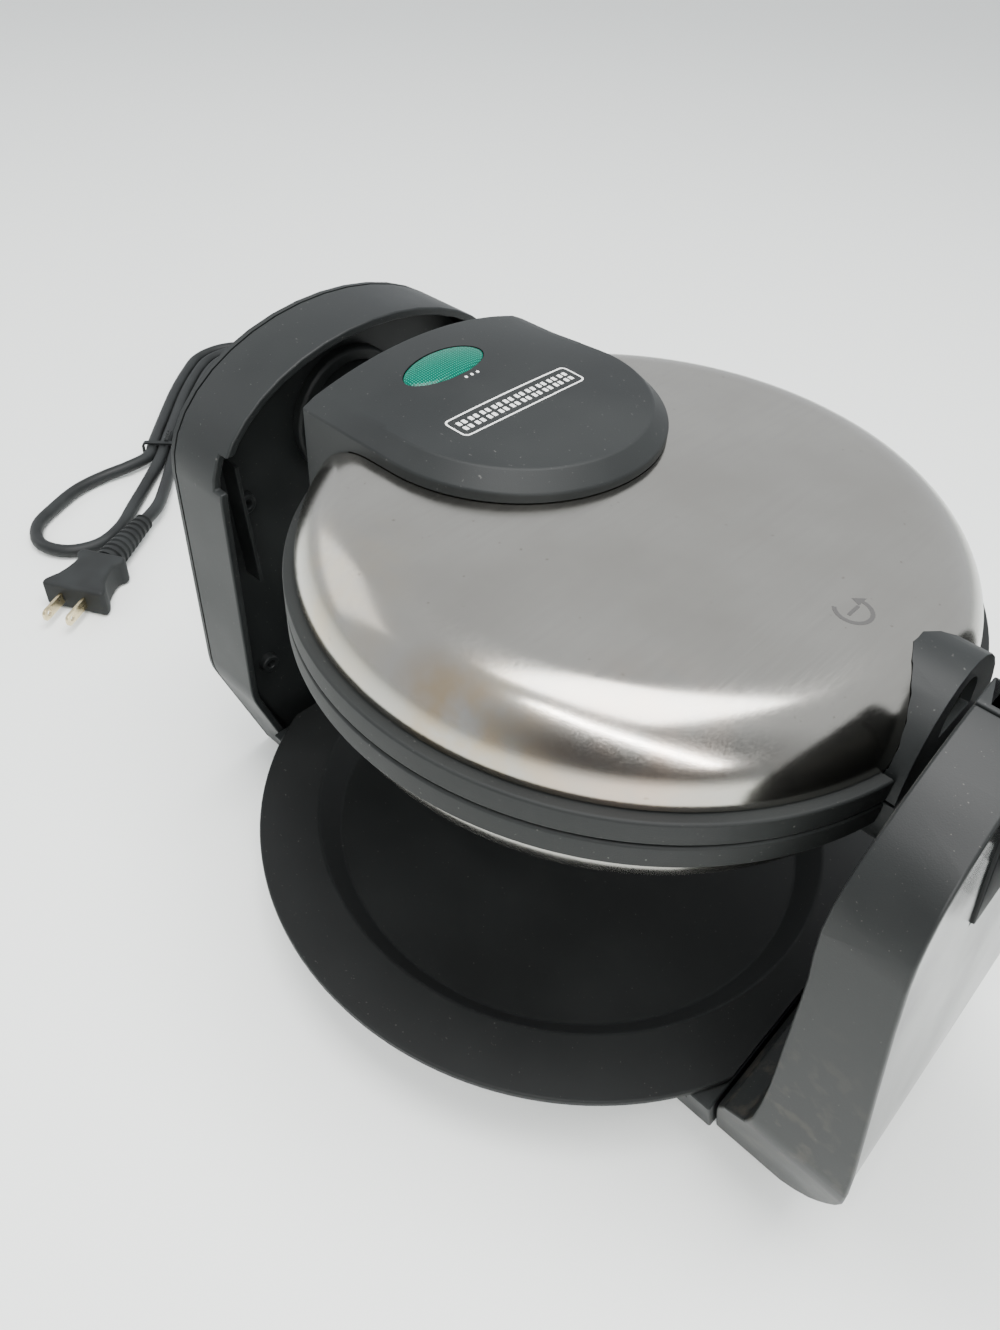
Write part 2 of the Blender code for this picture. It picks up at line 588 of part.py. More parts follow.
def drip_tray():
    rim_under = BASE_BLOCK_H + GAP
    rim_top = rim_under + TRAY_RIM_T
    profile = ((0, TRAY_FLOOR_H - TRAY_T), (TRAY_FLOOR_R + 1.5 * MM, TRAY_FLOOR_H - TRAY_T),
               (TRAY_DISH_R + 1 * MM, rim_under), (TRAY_R, rim_under), (TRAY_R, rim_top),
               (TRAY_DISH_R, rim_top), (TRAY_FLOOR_R, TRAY_FLOOR_H), (0, TRAY_FLOOR_H))
    tray = turned("drip_tray", profile, "base", "black", "Z", (TRAY_X, 0, 0), 64)
    left = add("tray_left_cut", box((-FAR, -FAR, 0), (TRAY_LEFT, FAR, 60 * MM)), "base")
    right = add("tray_right_cut", box((TRAY_RIGHT, -FAR, 0), (FAR, FAR, 60 * MM)), "base")
    cut(tray, left, right)


# ---- head -----------------------------------------------------------------------------------
def dome_profile(grow=0.0):
    """The dome's surface as (radius, height) from its edge to its middle, moved out by grow."""
    centre = (DOME_R - DOME_ROUND, DOME_H - DOME_ROUND)
    shoulder = arc(centre, DOME_ROUND + grow, 0, 90, 6)
    flat_r = centre[0]
    crown = [(flat_r * s, DOME_H + grow + DOME_CROWN * (1 - s * s)) for s in (0.5, 0)]
    return shoulder + crown


def mirrored(points, side):
    return [(a, side * b) for a, b in points]


def head_box(side, low, high):
    """A box whose heights are given for the upper half, mirrored for the lower one."""
    z0, z1 = sorted((side * low[2], side * high[2]))
    return box((low[0], low[1], z0), (high[0], high[1], z1))


def half_shells(half, side):
    """Rim and dome of one half.  side is 1 for the upper and -1 for the lower half."""
    frame = "lid" if side > 0 else "head"
    top = PARTING + TRIM_T
    rim = [(TRIM_INNER_R, PARTING), (TRIM_R, PARTING), (TRIM_R, top - TRIM_CHAMFER),
           (TRIM_R - TRIM_CHAMFER, top), (TRIM_INNER_R, top)]
    trim = turned(f"{half}_trim", mirrored(rim, side), frame, "black")
    clear = COVER_HALF + GAP
    rear_box = head_box(side, (-FAR, -clear, -5 * MM), (-60 * MM, clear, 60 * MM))
    rear = add(f"{half}_trim_rear", rear_box, frame)
    seat_half = TAB_HALF + GAP
    seat_box = head_box(side, (TAB_SEAT, -seat_half, -5 * MM), (FAR, seat_half, 60 * MM))
    seat = add(f"{half}_trim_seat", seat_box, frame)
    cut(trim, rear, seat)

    foot = top + GAP
    outer = [(DOME_R, foot)] + dome_profile()
    inner = dome_profile(-DOME_T)[::-1] + [(DOME_R - DOME_T, foot)]
    dome = turned(f"{half}_dome", mirrored(outer + inner, side), frame, "steel")
    cut(dome, add(f"{half}_dome_pocket", rear_pocket(side), frame))


def rear_pocket(side):
    """The room that the hinge housing takes behind POCKET_X, grown by the gap."""
    clear = COVER_HALF + GAP
    return head_box(side, (-FAR, -clear, -5 * MM), (POCKET_X + GAP, clear, 60 * MM))


def envelope(name, side, frame, with_trim):
    """The space of the dome, and of the rim below it, grown by the gap."""
    top = PARTING + TRIM_T + GAP
    edge = [(DOME_R + GAP, top)]
    if with_trim:
        edge = [(TRIM_R + GAP, -1 * MM), (TRIM_R + GAP, top), (DOME_R + GAP, top)]
    floor = (0, -1 * MM) if with_trim else (0, top)
    profile = [floor, *edge, *dome_profile(GAP)]
    return turned(name, mirrored(profile, side), frame)


def housing_outline(inset):
    """The hinge housing from above: a straight rear and sides, and a round front."""
    rear = COVER_REAR + inset
    half = COVER_HALF - inset
    return [(rear, -half)] + arc((COVER_CENTRE, 0), half, -90, 90, 20) + [(rear, half)]


def flip_z(mesh, side):
    if side < 0:
        mesh.transform(Matrix.Diagonal((1, 1, -1, 1)))
        mesh.flip_normals()
    return mesh


def hinge_cover(half, side):
    frame = "lid" if side > 0 else "head"
    outline = housing_outline(0)
    outline[0] = (COVER_REAR - COVER_CHAMFER, -COVER_HALF)
    outline[-1] = (COVER_REAR - COVER_CHAMFER, COVER_HALF)
    block = prism(outline, "XY", COVER_FOOT, COVER_EDGE_H)
    bm = bmesh.new()
    bm.from_mesh(block)
    top = [face for face in bm.faces if face.normal.z > 0.9]
    bmesh.ops.dissolve_faces(bm, faces=top)
    top = [face for face in bm.faces if face.normal.z > 0.9]
    bmesh.ops.inset_region(bm, faces=top, thickness=COVER_CHAMFER, depth=COVER_H - COVER_EDGE_H)
    bm.to_mesh(block)
    bm.free()
    cover = add(f"{half}_hinge_cover", flip_z(block, side), frame, "black")
    rear = add(f"{half}_cover_rear", box((-FAR, -90 * MM, -90 * MM), (COVER_REAR, 90 * MM, 90 * MM)), frame)
    inner = prism(housing_outline(COVER_WALL), "XY", -5 * MM, COVER_CEILING)
    hollow = add(f"{half}_cover_hollow", flip_z(inner, side), frame)
    dome = envelope(f"{half}_cover_seat", side, frame, True)
    behind = box((-FAR, -FAR, -90 * MM), (POCKET_X, FAR, 90 * MM))
    cut(dome, add(f"{half}_cover_seat_limit", behind, frame))
    open_half = BRACKET_HALF + GAP
    open_top = COVER_CEILING if side > 0 else -BRACKET_LOW + GAP
    open_box = head_box(side, (-FAR, -open_half, -5 * MM), (COVER_REAR + 9 * MM, open_half, open_top))
    opening = add(f"{half}_cover_opening", open_box, frame)
    cut(cover, hollow, dome, rear, opening)
    return cover


def ellipse_prism(half_x, half_y, centre, low, high, count=24):
    points = [(centre[0] + half_x * cos(2 * pi * i / count), centre[1] + half_y * sin(2 * pi * i / count))
              for i in range(count)]
    return prism(points, "XY", low, high)


def lamp_and_lens(cover):
    centre = (LENS_X, LENS_Y)
    hole = ellipse_prism(LENS_WIDE + GAP, LENS_LONG + GAP, centre, 30 * MM, 60 * MM)
    cut(cover, add("lens_hole", hole, "lid"))
    lens = ellipse_prism(LENS_WIDE, LENS_LONG, centre, COVER_H - 2.5 * MM, COVER_H + 0.8 * MM)
    add("indicator_lens", lens, "lid", "lens")
    lamp = cylinder(2.5 * MM, (LENS_X, LENS_Y - 7 * MM, 33 * MM), 14 * MM, "Y", SMALL_SIDES)
    add("indicator_lamp", lamp, "lid", "lamp")


def hinge():
    """Bracket on the pivot barrel, its knuckles, the pin, and the lid's leaf between them."""
    high = (COVER_REAR + BRACKET_T, BRACKET_HALF, BRACKET_HIGH)
    plate = box((COVER_REAR, -BRACKET_HALF, BRACKET_LOW), high)
    bracket = add("hinge_bracket", plate, "head", "zinc")
    width = KNUCKLE_OUT - KNUCKLE_IN
    for number, y in enumerate((-KNUCKLE_OUT, KNUCKLE_IN), 1):
        arm = box((COVER_REAR + 2 * MM, y, -10 * MM), (PIN_X + 3 * MM, y + width, PIN_Z))
        knuckle = cylinder(KNUCKLE_R, (PIN_X, y, PIN_Z), width, "Y", SMALL_SIDES)
        join(bracket, add(f"arm_{number}", arm, "head"), add(f"knuckle_{number}", knuckle, "head"))
    pin_hole = cylinder(PIN_R + PIN_PLAY, (PIN_X, -60 * MM, PIN_Z), 120 * MM, "Y", SMALL_SIDES)
    hole = add("pin_hole", pin_hole, "head")
    wire_hole = cylinder(7 * MM, (COVER_REAR - 6 * MM, 0, 0), 20 * MM, "X", SMALL_SIDES)
    cut(bracket, hole, add("wire_hole", wire_hole, "head"))

    reach = KNUCKLE_OUT + 0.5 * MM
    add("hinge_pin", cylinder(PIN_R, (PIN_X, -reach, PIN_Z), 2 * reach, "Y", SMALL_SIDES), "head", "zinc")

    leaf_half = KNUCKLE_IN - 0.4 * MM
    barrel_mesh = cylinder(KNUCKLE_R, (PIN_X, -leaf_half, PIN_Z), 2 * leaf_half, "Y", SMALL_SIDES)
    leaf = add("lid_hinge_leaf", barrel_mesh, "lid", "zinc")
    tongue = box((PIN_X, -leaf_half, PIN_Z + 3 * MM), (PIN_X + 8 * MM, leaf_half, COVER_CEILING - GAP))
    join(leaf, add("leaf_tongue", tongue, "lid"))
    cut(leaf, hole)


def barrel():
    length = COVER_REAR - GAP - BARREL_LEFT
    profile = ((BARREL_BORE, 0), (BARREL_R, 0), (BARREL_R, length), (BARREL_BORE, length))
    turned("pivot_barrel", profile, "head", "black", "X", (BARREL_LEFT, 0, 0), RING_SIDES)
    outer = BARREL_R + 6 * MM
    ring = ((BARREL_R + GAP, 0), (outer, 0), (outer, RETAINER_T), (BARREL_R + GAP, RETAINER_T))
    start = LEFT_WEB - STAND_WALL - GAP - RETAINER_T
    turned("barrel_retainer", ring, "head", "zinc", "X", (start, 0, 0), RING_SIDES)


def grid_plate(half, side):
    """A round plate with a well, and square pegs that press the waffle's cells."""
    frame = "lid" if side > 0 else "head"
    rim_r = TRIM_INNER_R - GAP
    rim_back = PLATE_FACE + PLATE_T
    back = PLATE_FLOOR + PLATE_T
    profile = ((0, PLATE_FLOOR), (WELL_R - WELL_SLOPE, PLATE_FLOOR), (WELL_R, PLATE_FACE),
               (rim_r, PLATE_FACE), (rim_r, rim_back), (WELL_R + 3 * MM, rim_back), (WELL_R, back), (0, back))
    plate = turned(f"{half}_grid_plate", mirrored(profile, side), frame, "coated")
    bm = bmesh.new()
    reach = int(WELL_R / PEG_PITCH)
    middle = (PEG_TIP + PLATE_FLOOR + 1 * MM) / 2
    height = PLATE_FLOOR + 1 * MM - PEG_TIP
    for i in range(-reach, reach + 1):
        for j in range(-reach, reach + 1):
            x = i * PEG_PITCH
            y = j * PEG_PITCH
            if sqrt(x * x + y * y) < WELL_R - PEG_SIZE:
                move = Matrix.Translation((x, y, side * middle))
                shape = Matrix.Diagonal((PEG_SIZE, PEG_SIZE, height, 1))
                bmesh.ops.create_cube(bm, size=1, matrix=move @ shape)
    pegs = add(f"{half}_pegs", mesh_of(bm), frame)
    join(plate, pegs)
    cut(plate, add(f"{half}_plate_notch", rear_pocket(side), frame))
    heater_z = side * (back + GAP + HEATER_TUBE + 0.5 * MM)
    ring = [(x, y, heater_z) for x, y in arc((0, 0), HEATER_R, 15, 345, 22)]
    add(f"{half}_heater", tube(ring, HEATER_TUBE), frame, "zinc")


def head_inside():
    top = -(PLATE_FLOOR + PLATE_T + GAP)
    step = top - 8 * MM
    low = top - 12 * MM
    profile = ((0, top), (9 * MM, top), (9 * MM, step), (5 * MM, step), (5 * MM, low), (0, low))
    turned("thermostat", profile, "head", "zinc", steps=20)
    # from the barrel's left end through the bracket, then along the dome's floor to the thermostat
    wires = [(BARREL_LEFT + 3.5 * MM, 0), (COVER_REAR - 21 * MM, 0), (COVER_REAR - 2 * MM, 0),
             (COVER_REAR + 7 * MM, -4 * MM), (COVER_REAR + 12 * MM, -13 * MM),
             (COVER_REAR + 19 * MM, -21.5 * MM), (COVER_REAR + 32 * MM, -25 * MM), (-40 * MM, -25.3 * MM),
             (-20 * MM, -25.3 * MM), (-5.6 * MM, -25 * MM)]
    path = spline_points([(x, 0, z) for x, z in wires], 9 * MM)
    add("wire_harness", tube(path, 2.5 * MM), "head", "rubber")
    fuse = cylinder(3 * MM, (-30 * MM, -12 * MM, 18 * MM), 24 * MM, "Y", SMALL_SIDES)
    add("thermal_fuse", fuse, "lid", "brass")


def front_bracket(half, side, face):
    """An arched tab on the front of one half, which leans back and has a window."""
    frame = "lid" if side > 0 else "head"
    rise = TAB_H - TAB_FOOT
    angles = [radians(a) for a in range(0, 181, 12)]
    outline = mirrored([(TAB_HALF * cos(a), TAB_FOOT + rise * sin(a)) for a in angles], side)
    blank_x = TRIM_R - 25 * MM
    mesh = prism(outline if side > 0 else outline[::-1], "YZ", blank_x, face)
    for vertex in mesh.vertices:
        if vertex.co.x > blank_x + 1 * MM:
            vertex.co.x -= TAB_LEAN * abs(vertex.co.z)
    tab = add(f"{half}_front_bracket", mesh, frame, "black")
    rim_top = PARTING + TRIM_T + 1 * MM
    seat = head_box(side, (0, -60 * MM, -5 * MM), (TAB_SEAT + GAP, 60 * MM, rim_top))
    dome = envelope(f"{half}_tab_dome", side, frame, False)
    opening = [(WINDOW_HALF, WINDOW_LOW), *arc((0, WINDOW_ARCH), WINDOW_HALF, 0, 180, 10),
               (-WINDOW_HALF, WINDOW_LOW)]
    window = prism(mirrored(opening, side), "YZ", TRIM_R - 45 * MM, TRIM_R + 25 * MM)
    cut(tab, add(f"{half}_tab_seat", seat, frame), dome, add(f"{half}_window", window, frame))


def shaft_and_hub():
    start = LOWER_TAB_FACE + GAP
    step = 0.5 * MM
    shaft = ((0, start), (SHAFT_R, start), (SHAFT_R, JOURNAL_START - step), (JOURNAL_R, JOURNAL_START),
             (JOURNAL_R, JOURNAL_END), (SHAFT_R, JOURNAL_END + step), (SHAFT_R, SHAFT_END), (0, SHAFT_END))
    turned("front_shaft", shaft, "head", "black", "X", steps=RING_SIDES)
    hub_start = SHAFT_END + GAP
    core = ((0, hub_start), (HUB_NECK_R, hub_start), (HUB_NECK_R, HUB_FLARE - 3 * MM), (HUB_R, HUB_FLARE),
            (HUB_R, HUB_END), (0, HUB_END))
    hub = turned("handle_hub", core, "head", "black", "X", steps=RING_SIDES)
    root_x = HUB_FLARE - 1 * MM
    root_r = HUB_R - 6 * MM
    tip_x = HUB_END - 0.5 * MM
    rib = [(root_x, root_r), (tip_x, root_r), (tip_x, RIB_R), (tip_x - 1.5 * MM, RIB_R),
           (root_x, root_r + 4 * MM)]
    for number in range(RIB_COUNT):
        mesh = prism(rib, "XZ", -RIB_HALF_T, RIB_HALF_T)
        mesh.transform(Matrix.Rotation(2 * pi * (number + 0.5) / RIB_COUNT, 4, "X"))
        join(hub, add(f"rib_{number}", mesh, "head"))


def handle():
    """Guard disc with two ears, the pin between them, and the folding grip in two shells."""
    start = HUB_END + GAP
    end = start + GUARD_T
    chamfer = 1 * MM
    guard = ((0, start), (GUARD_R, start), (GUARD_R, end - chamfer), (GUARD_R - chamfer, end), (0, end))
    disc = turned("handle_guard", guard, "head", "black", "X", steps=RING_SIDES)
    ear_in = GRIP_HALF_W + 2 * GAP
    ear_root = start + 1 * MM
    outline = arc((GRIP_PIN_X, 0), EAR_R, -90, 90, 10) + [(ear_root, EAR_R), (ear_root, -EAR_R)]
    for number, y in enumerate((-ear_in - EAR_T, ear_in), 1):
        join(disc, add(f"ear_{number}", prism(outline, "XZ", y, y + EAR_T), "head"))
    hole = cylinder(GRIP_PIN_R + PIN_PLAY, (GRIP_PIN_X, -60 * MM, 0), 120 * MM, "Y", SMALL_SIDES)
    cut(disc, add("ear_hole", hole, "head"))
    reach = ear_in + EAR_T
    pin = cylinder(GRIP_PIN_R, (GRIP_PIN_X, -reach, 0), 2 * reach, "Y", SMALL_SIDES)
    add("handle_pin", pin, "head", "zinc")

    end_x = GRIP_END - GRIP_HALF_T
    outline = arc((end_x, 0), GRIP_HALF_T, -90, 90, 12) + arc((GRIP_PIN_X, 0), GRIP_HALF_T, 90, 270, 12)
    inner_r = GRIP_HALF_T - GRIP_WALL
    room_x = GRIP_PIN_X + 12 * MM
    room = arc((end_x, 0), inner_r, -90, 90, 12) + arc((room_x, 0), inner_r, 90, 270, 12)
    inner_w = GRIP_HALF_W - GRIP_WALL
    grip_hole = add("grip_hole", hole.copy(), "handle")
    for half, side in (("upper", 1), ("lower", -1)):
        block = prism(outline, "XZ", -GRIP_HALF_W, GRIP_HALF_W)
        grip = add(f"handle_grip_{half}", block, "handle", "black")
        hollow = add(f"grip_room_{half}", prism(room, "XZ", -inner_w, inner_w), "handle")
        other = head_box(side, (0, -60 * MM, -60 * MM), (2 * FAR, 60 * MM, GAP / 2))
        cut(grip, hollow, add(f"grip_cut_{half}", other, "handle"), grip_hole)


# ---- cord -----------------------------------------------------------------------------------
def cord():
    relief = ((0, -GAP), (6.5 * MM, -GAP), (6 * MM, -GAP - 4 * MM),
              (CORD_R + 0.8 * MM, -GAP - RELIEF_LENGTH), (0, -GAP - RELIEF_LENGTH))
    turned("cord_strain_relief", relief, "exit", "rubber", "X", (0, 0, CORD_EXIT_H), 20)
    path = spline_points([Vector(point) * MM for point in CORD_ROUTE], CORD_STEP)
    add("cord_lead", tube(path, CORD_R), "exit", "rubber")


def twist_tie():
    """A flat band round the three strands."""
    half = STRAND_PITCH + CORD_R + TIE_SLACK
    low = TIE_LIFT - CORD_R - TIE_SLACK
    high = TIE_LIFT + CORD_R + TIE_SLACK
    turn = Matrix.Translation((*TIE_AT, 0)) @ Matrix.Rotation(TIE_ANGLE, 4, "Z")
    outer = half + TIE_BAND
    tie = box((-outer, -TIE_HALF_W, low - TIE_BAND), (outer, TIE_HALF_W, high + TIE_BAND))
    tie.transform(turn)
    room = box((-half, -2 * TIE_HALF_W, low), (half, 2 * TIE_HALF_W, high))
    room.transform(turn)
    cut(add("twist_tie", tie, "exit", "black"), add("tie_room", room, "exit"))


def plug():
    """Two-pole plug, drawn along +X from its face and then turned to where it lies."""
    turn = Matrix.Translation((*PLUG_FACE, PLUG_AXIS_H)) @ Matrix.Rotation(PLUG_ANGLE, 4, "Z")
    half = [(0, 17 * MM), (-4 * MM, 17 * MM), (-10 * MM, 13 * MM), (-24 * MM, 10.5 * MM),
            (-27 * MM, 13.5 * MM), (-PLUG_LENGTH, 12.5 * MM)]
    outline = half + [(a, -b) for a, b in reversed(half)]
    body = prism(outline, "XY", -PLUG_HALF_T, PLUG_HALF_T)
    body.transform(turn)
    add("plug_body", body, "exit", "rubber")
    for number, side in enumerate((-1, 1), 1):
        middle = side * BLADE_PITCH / 2
        blade = box((GAP, middle - BLADE_HALF_T, -BLADE_HALF_W),
                    (BLADE_LENGTH, middle + BLADE_HALF_T, BLADE_HALF_W))
        blade.transform(turn)
        eye = cylinder(1.6 * MM, (BLADE_LENGTH - 4 * MM, middle - 2 * MM, 0), 4 * MM, "Y", 12)
        eye.transform(turn)
        cut(add(f"plug_blade_{number}", blade, "exit", "brass"), add(f"blade_eye_{number}", eye, "exit"))
    start = -PLUG_LENGTH - GAP
    end = -PLUG_LENGTH - PLUG_RELIEF + GAP
    relief = ((0, start), (7.3 * MM, start), (5 * MM, end), (0, end))
    turned("plug_strain_relief", relief, "exit", "rubber", "X", (*PLUG_FACE, PLUG_AXIS_H), 20, PLUG_ANGLE)


def build():
    base()
    drip_tray()
    left_stand()
    right_stand()
    flip_lock()
    for half, side in (("lower", -1), ("upper", 1)):
        half_shells(half, side)
        grid_plate(half, side)
    hinge_cover("lower", -1)
    lamp_and_lens(hinge_cover("upper", 1))
    front_bracket("lower", -1, LOWER_TAB_FACE)
    front_bracket("upper", 1, TAB_FACE)
    hinge()
    barrel()
    head_inside()
    shaft_and_hub()
    handle()
    cord()
    twist_tie()
    plug()


build()
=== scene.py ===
"""Looks of the rotary waffle maker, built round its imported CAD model.

Metres, in the row frame.  Pieces of the head are drawn from the head's centre, pieces of the base
and the plug from the point on the floor below it, and the cord from the point below its exit.
"""
import json
from math import cos, pi, radians, sin, sqrt

import bmesh
import bpy
from mathutils import Matrix, Vector

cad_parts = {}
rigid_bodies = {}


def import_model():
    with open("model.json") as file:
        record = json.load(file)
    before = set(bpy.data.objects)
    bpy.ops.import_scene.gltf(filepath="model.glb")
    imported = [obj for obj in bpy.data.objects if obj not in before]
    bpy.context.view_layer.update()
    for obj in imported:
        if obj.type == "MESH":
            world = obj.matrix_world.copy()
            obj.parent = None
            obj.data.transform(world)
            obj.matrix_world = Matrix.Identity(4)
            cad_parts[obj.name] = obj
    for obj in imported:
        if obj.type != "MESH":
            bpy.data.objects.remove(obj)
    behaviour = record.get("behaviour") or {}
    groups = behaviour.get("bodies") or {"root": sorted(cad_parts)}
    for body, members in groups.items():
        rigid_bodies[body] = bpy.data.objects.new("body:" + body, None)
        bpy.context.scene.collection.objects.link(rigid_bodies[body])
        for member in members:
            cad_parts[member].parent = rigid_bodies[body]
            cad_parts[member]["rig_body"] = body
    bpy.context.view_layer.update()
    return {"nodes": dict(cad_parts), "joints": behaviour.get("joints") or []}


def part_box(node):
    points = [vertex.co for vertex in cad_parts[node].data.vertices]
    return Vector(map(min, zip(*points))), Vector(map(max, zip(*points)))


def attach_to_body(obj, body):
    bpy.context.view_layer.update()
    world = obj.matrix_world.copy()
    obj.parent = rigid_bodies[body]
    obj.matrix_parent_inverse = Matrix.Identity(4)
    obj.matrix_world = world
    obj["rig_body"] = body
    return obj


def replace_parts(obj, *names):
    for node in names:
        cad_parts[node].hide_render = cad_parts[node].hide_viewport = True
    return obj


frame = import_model()

MM = 0.001
GAP = 0.3 * MM
FINE = 160                  # facets of the large turned pieces
MEDIUM = 64                 # facets of the hub, the pivot and the guard
SMALL = 32                  # facets of bosses, holes and reliefs
FAR = 200 * MM              # how far cutting boxes reach
CUT_H = 60 * MM             # and how high

HEAD = Vector(next(joint["pos_m"] for joint in frame["joints"] if joint["name"] == "head_flip"))
FLOOR_POINT = Vector((HEAD.x, 0, 0))
EXIT_FLOOR = Vector((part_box("left_stand_back_cover")[0].x, 0, 0))


def extent(node, origin=HEAD):
    """A CAD node's lowest and highest corners, from the origin given."""
    low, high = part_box(node)
    return low - origin, high - origin


# ---- sizes, from the frame where a node's box has them ---------------------------------------
TRIM_LOW, TRIM_HIGH = extent("upper_trim")
TRIM_R = TRIM_HIGH.y
TRIM_INNER_R = 92.5 * MM
PARTING = TRIM_LOW.z
TRIM_TOP = TRIM_HIGH.z
TRIM_REAR = -60 * MM        # the rim's opening for the hinge housing lies behind this line
DOME_HIGH = extent("upper_dome")[1]
DOME_R = DOME_HIGH.y
DOME_ROUND = 22 * MM
DOME_CROWN = 1.2 * MM
DOME_H = DOME_HIGH.z - DOME_CROWN
DOME_T = 1.5 * MM

COVER_LOW, COVER_HIGH = extent("upper_hinge_cover")
COVER_HALF = COVER_HIGH.y
COVER_REAR = COVER_LOW.x
COVER_FOOT = COVER_LOW.z
COVER_H = COVER_HIGH.z
COVER_CENTRE = COVER_HIGH.x - COVER_HALF
COVER_EDGE_H = 35 * MM
COVER_CHAMFER = 5.5 * MM
COVER_WALL = 4.2 * MM
COVER_CEILING = 36.2 * MM
COVER_ARCH_H = 44 * MM      # height of the arched rear edge in the middle
COVER_ARCH_DROP = 8 * MM    # and how much lower it is at the sides
COVER_FLAT_X = -40 * MM     # the top is flat before this line
COVER_ARCH_X = -90 * MM     # and fully arched behind this one
COVER_FOCUS = (-62 * MM, 0.0)   # the top's rings shrink towards this point
POCKET_X = -73 * MM

LENS_LOW, LENS_HIGH = extent("indicator_lens")
LENS_X = (LENS_LOW.x + LENS_HIGH.x) / 2
LENS_Y = (LENS_LOW.y + LENS_HIGH.y) / 2
LENS_LONG = (LENS_HIGH.y - LENS_LOW.y) / 2
LENS_WIDE = (LENS_HIGH.x - LENS_LOW.x) / 2

TAB_HALF = extent("upper_front_bracket")[1].y
TAB_SEAT = 98 * MM
PLATE_R = TRIM_INNER_R - GAP
WELL_R = 82 * MM
WELL_SLOPE = 4 * MM         # the well is this much narrower at its floor
PLATE_FACE = 0.8 * MM
PLATE_FLOOR = 11 * MM
PLATE_T = 3 * MM
PEG_PITCH = 22 * MM
PEG_SIZE = 12 * MM
PEG_TIP = 3.5 * MM
PEG_TAPER = 0.78            # a peg's tip by its root

LEFT_WEB = -134.9 * MM      # floor of the left stand's recess

TRAY_LOW, TRAY_HIGH = extent("drip_tray", FLOOR_POINT)
TRAY_R = TRAY_HIGH.y
TRAY_X = -7.5 * MM
TRAY_RIM_T = 3 * MM
TRAY_DISH_R = 98 * MM
TRAY_FLOOR_R = 90 * MM
TRAY_FLOOR_H = 28.8 * MM
TRAY_T = 2.2 * MM

HUB_START = extent("handle_hub")[0].x
HUB_END = extent("handle_hub")[1].x
HUB_R = 16 * MM
HUB_NECK_R = 12.5 * MM
HUB_FLARE = 4 * MM          # length of the hub's fluted end
RIB_R = 30 * MM
RIB_COUNT = 12
RIB_HALF_T = 1.5 * MM
GUARD_X = HUB_END + GAP
GUARD_R = 34 * MM
GUARD_T = 3.7 * MM
GRIP_PIN_X = 157 * MM
GRIP_PIN_R = 4.1 * MM
GRIP_HALF_T = extent("handle_grip_upper")[1].z
GRIP_HALF_W = extent("handle_grip_upper")[1].y
GRIP_END = extent("handle_grip_upper")[1].x
GRIP_WALL = 2.5 * MM
EAR_R = 8 * MM
EAR_T = 3.5 * MM

CORD_R = 3.5 * MM
CORD_STEP = 4 * MM
EXIT_LOW, EXIT_HIGH = extent("cord_strain_relief", FLOOR_POINT)
EXIT_H = (EXIT_LOW.z + EXIT_HIGH.z) / 2
PLUG_FACE = (-283 * MM, -64 * MM)
PLUG_ANGLE = radians(-60.6)
PLUG_AXIS_H = 7.9 * MM
PLUG_HALF_T = 7.5 * MM
PLUG_LENGTH = 32 * MM
PLUG_RELIEF = 40 * MM
PLUG_RELIEF_R = (7.3 * MM, 5 * MM)
BLADE_PITCH = 12.7 * MM
BLADE_HALF_W = 3.2 * MM
BLADE_HALF_T = 0.75 * MM
TIE_AT = (-380.5 * MM, 51 * MM)
TIE_ANGLE = radians(46)
# The cord's middle from the exit to the plug, in millimetres from the point below the exit.
CORD_ROUTE = (
    (-29.4, 0, 45), (-44.4, 1.5, 42.5), (-60.4, 9, 29), (-77.4, 21, 12), (-100.4, 40, 4.6),
    (-126.4, 62, 3.8), (-150.4, 84, 3.8), (-172.4, 107, 3.8), (-191.4, 131, 3.8), (-211.4, 153, 3.8),
    (-237.4, 168, 3.8), (-265.4, 177, 3.8), (-291.4, 186.5, 3.8), (-313.4, 179, 3.8),
    (-326.4, 160, 3.8), (-325.4, 138, 3.8), (-312.4, 119, 3.8), (-292.4, 96, 3.8), (-266.4, 70, 3.8),
    (-246.4, 51.5, 5.1), (-234.2, 40.1, 5.2), (-231.9, 25, 5), (-233.9, 8, 3.8), (-231.4, -10, 3.8),
    (-223.4, -28, 3.8), (-213.4, -44, 3.8), (-197.4, -51, 3.8), (-181.9, -44, 3.8), (-175.9, -28, 3.8),
    (-182.4, -11, 3.8), (-195.4, 5, 3.8), (-209.4, 22, 3.8), (-219.4, 35, 5.1), (-228.4, 45, 5.2),
    (-241.4, 57, 5.1), (-261.4, 75.5, 3.8), (-286.4, 100, 3.8), (-306.4, 123, 3.8), (-317.9, 141, 3.8),
    (-318.9, 160, 3.8), (-308.9, 173.5, 3.8), (-291.4, 179, 3.8), (-271.4, 171, 3.8),
    (-252.4, 157, 3.8), (-230.4, 148, 3.8), (-212.9, 137.5, 3.8), (-209.4, 120, 3.8),
    (-219.4, 105.5, 3.8), (-237.4, 103.5, 3.8), (-250.4, 115, 3.8), (-258.4, 132, 3.8),
    (-265.9, 149, 3.8), (-276.4, 165.2, 3.8), (-291.4, 171.4, 3.8), (-306.4, 165.2, 3.8),
    (-312.2, 151, 3.8), (-304.4, 132.5, 3.8), (-281.4, 105.5, 3.8), (-255.4, 80.5, 3.8),
    (-235.4, 62, 5.1), (-222.6, 49.9, 5.2), (-207.4, 36.5, 5.3), (-190.4, 21.5, 6.4),
    (-179.5, 10.7, 7.9), (-173.1, -0.7, 7.9))


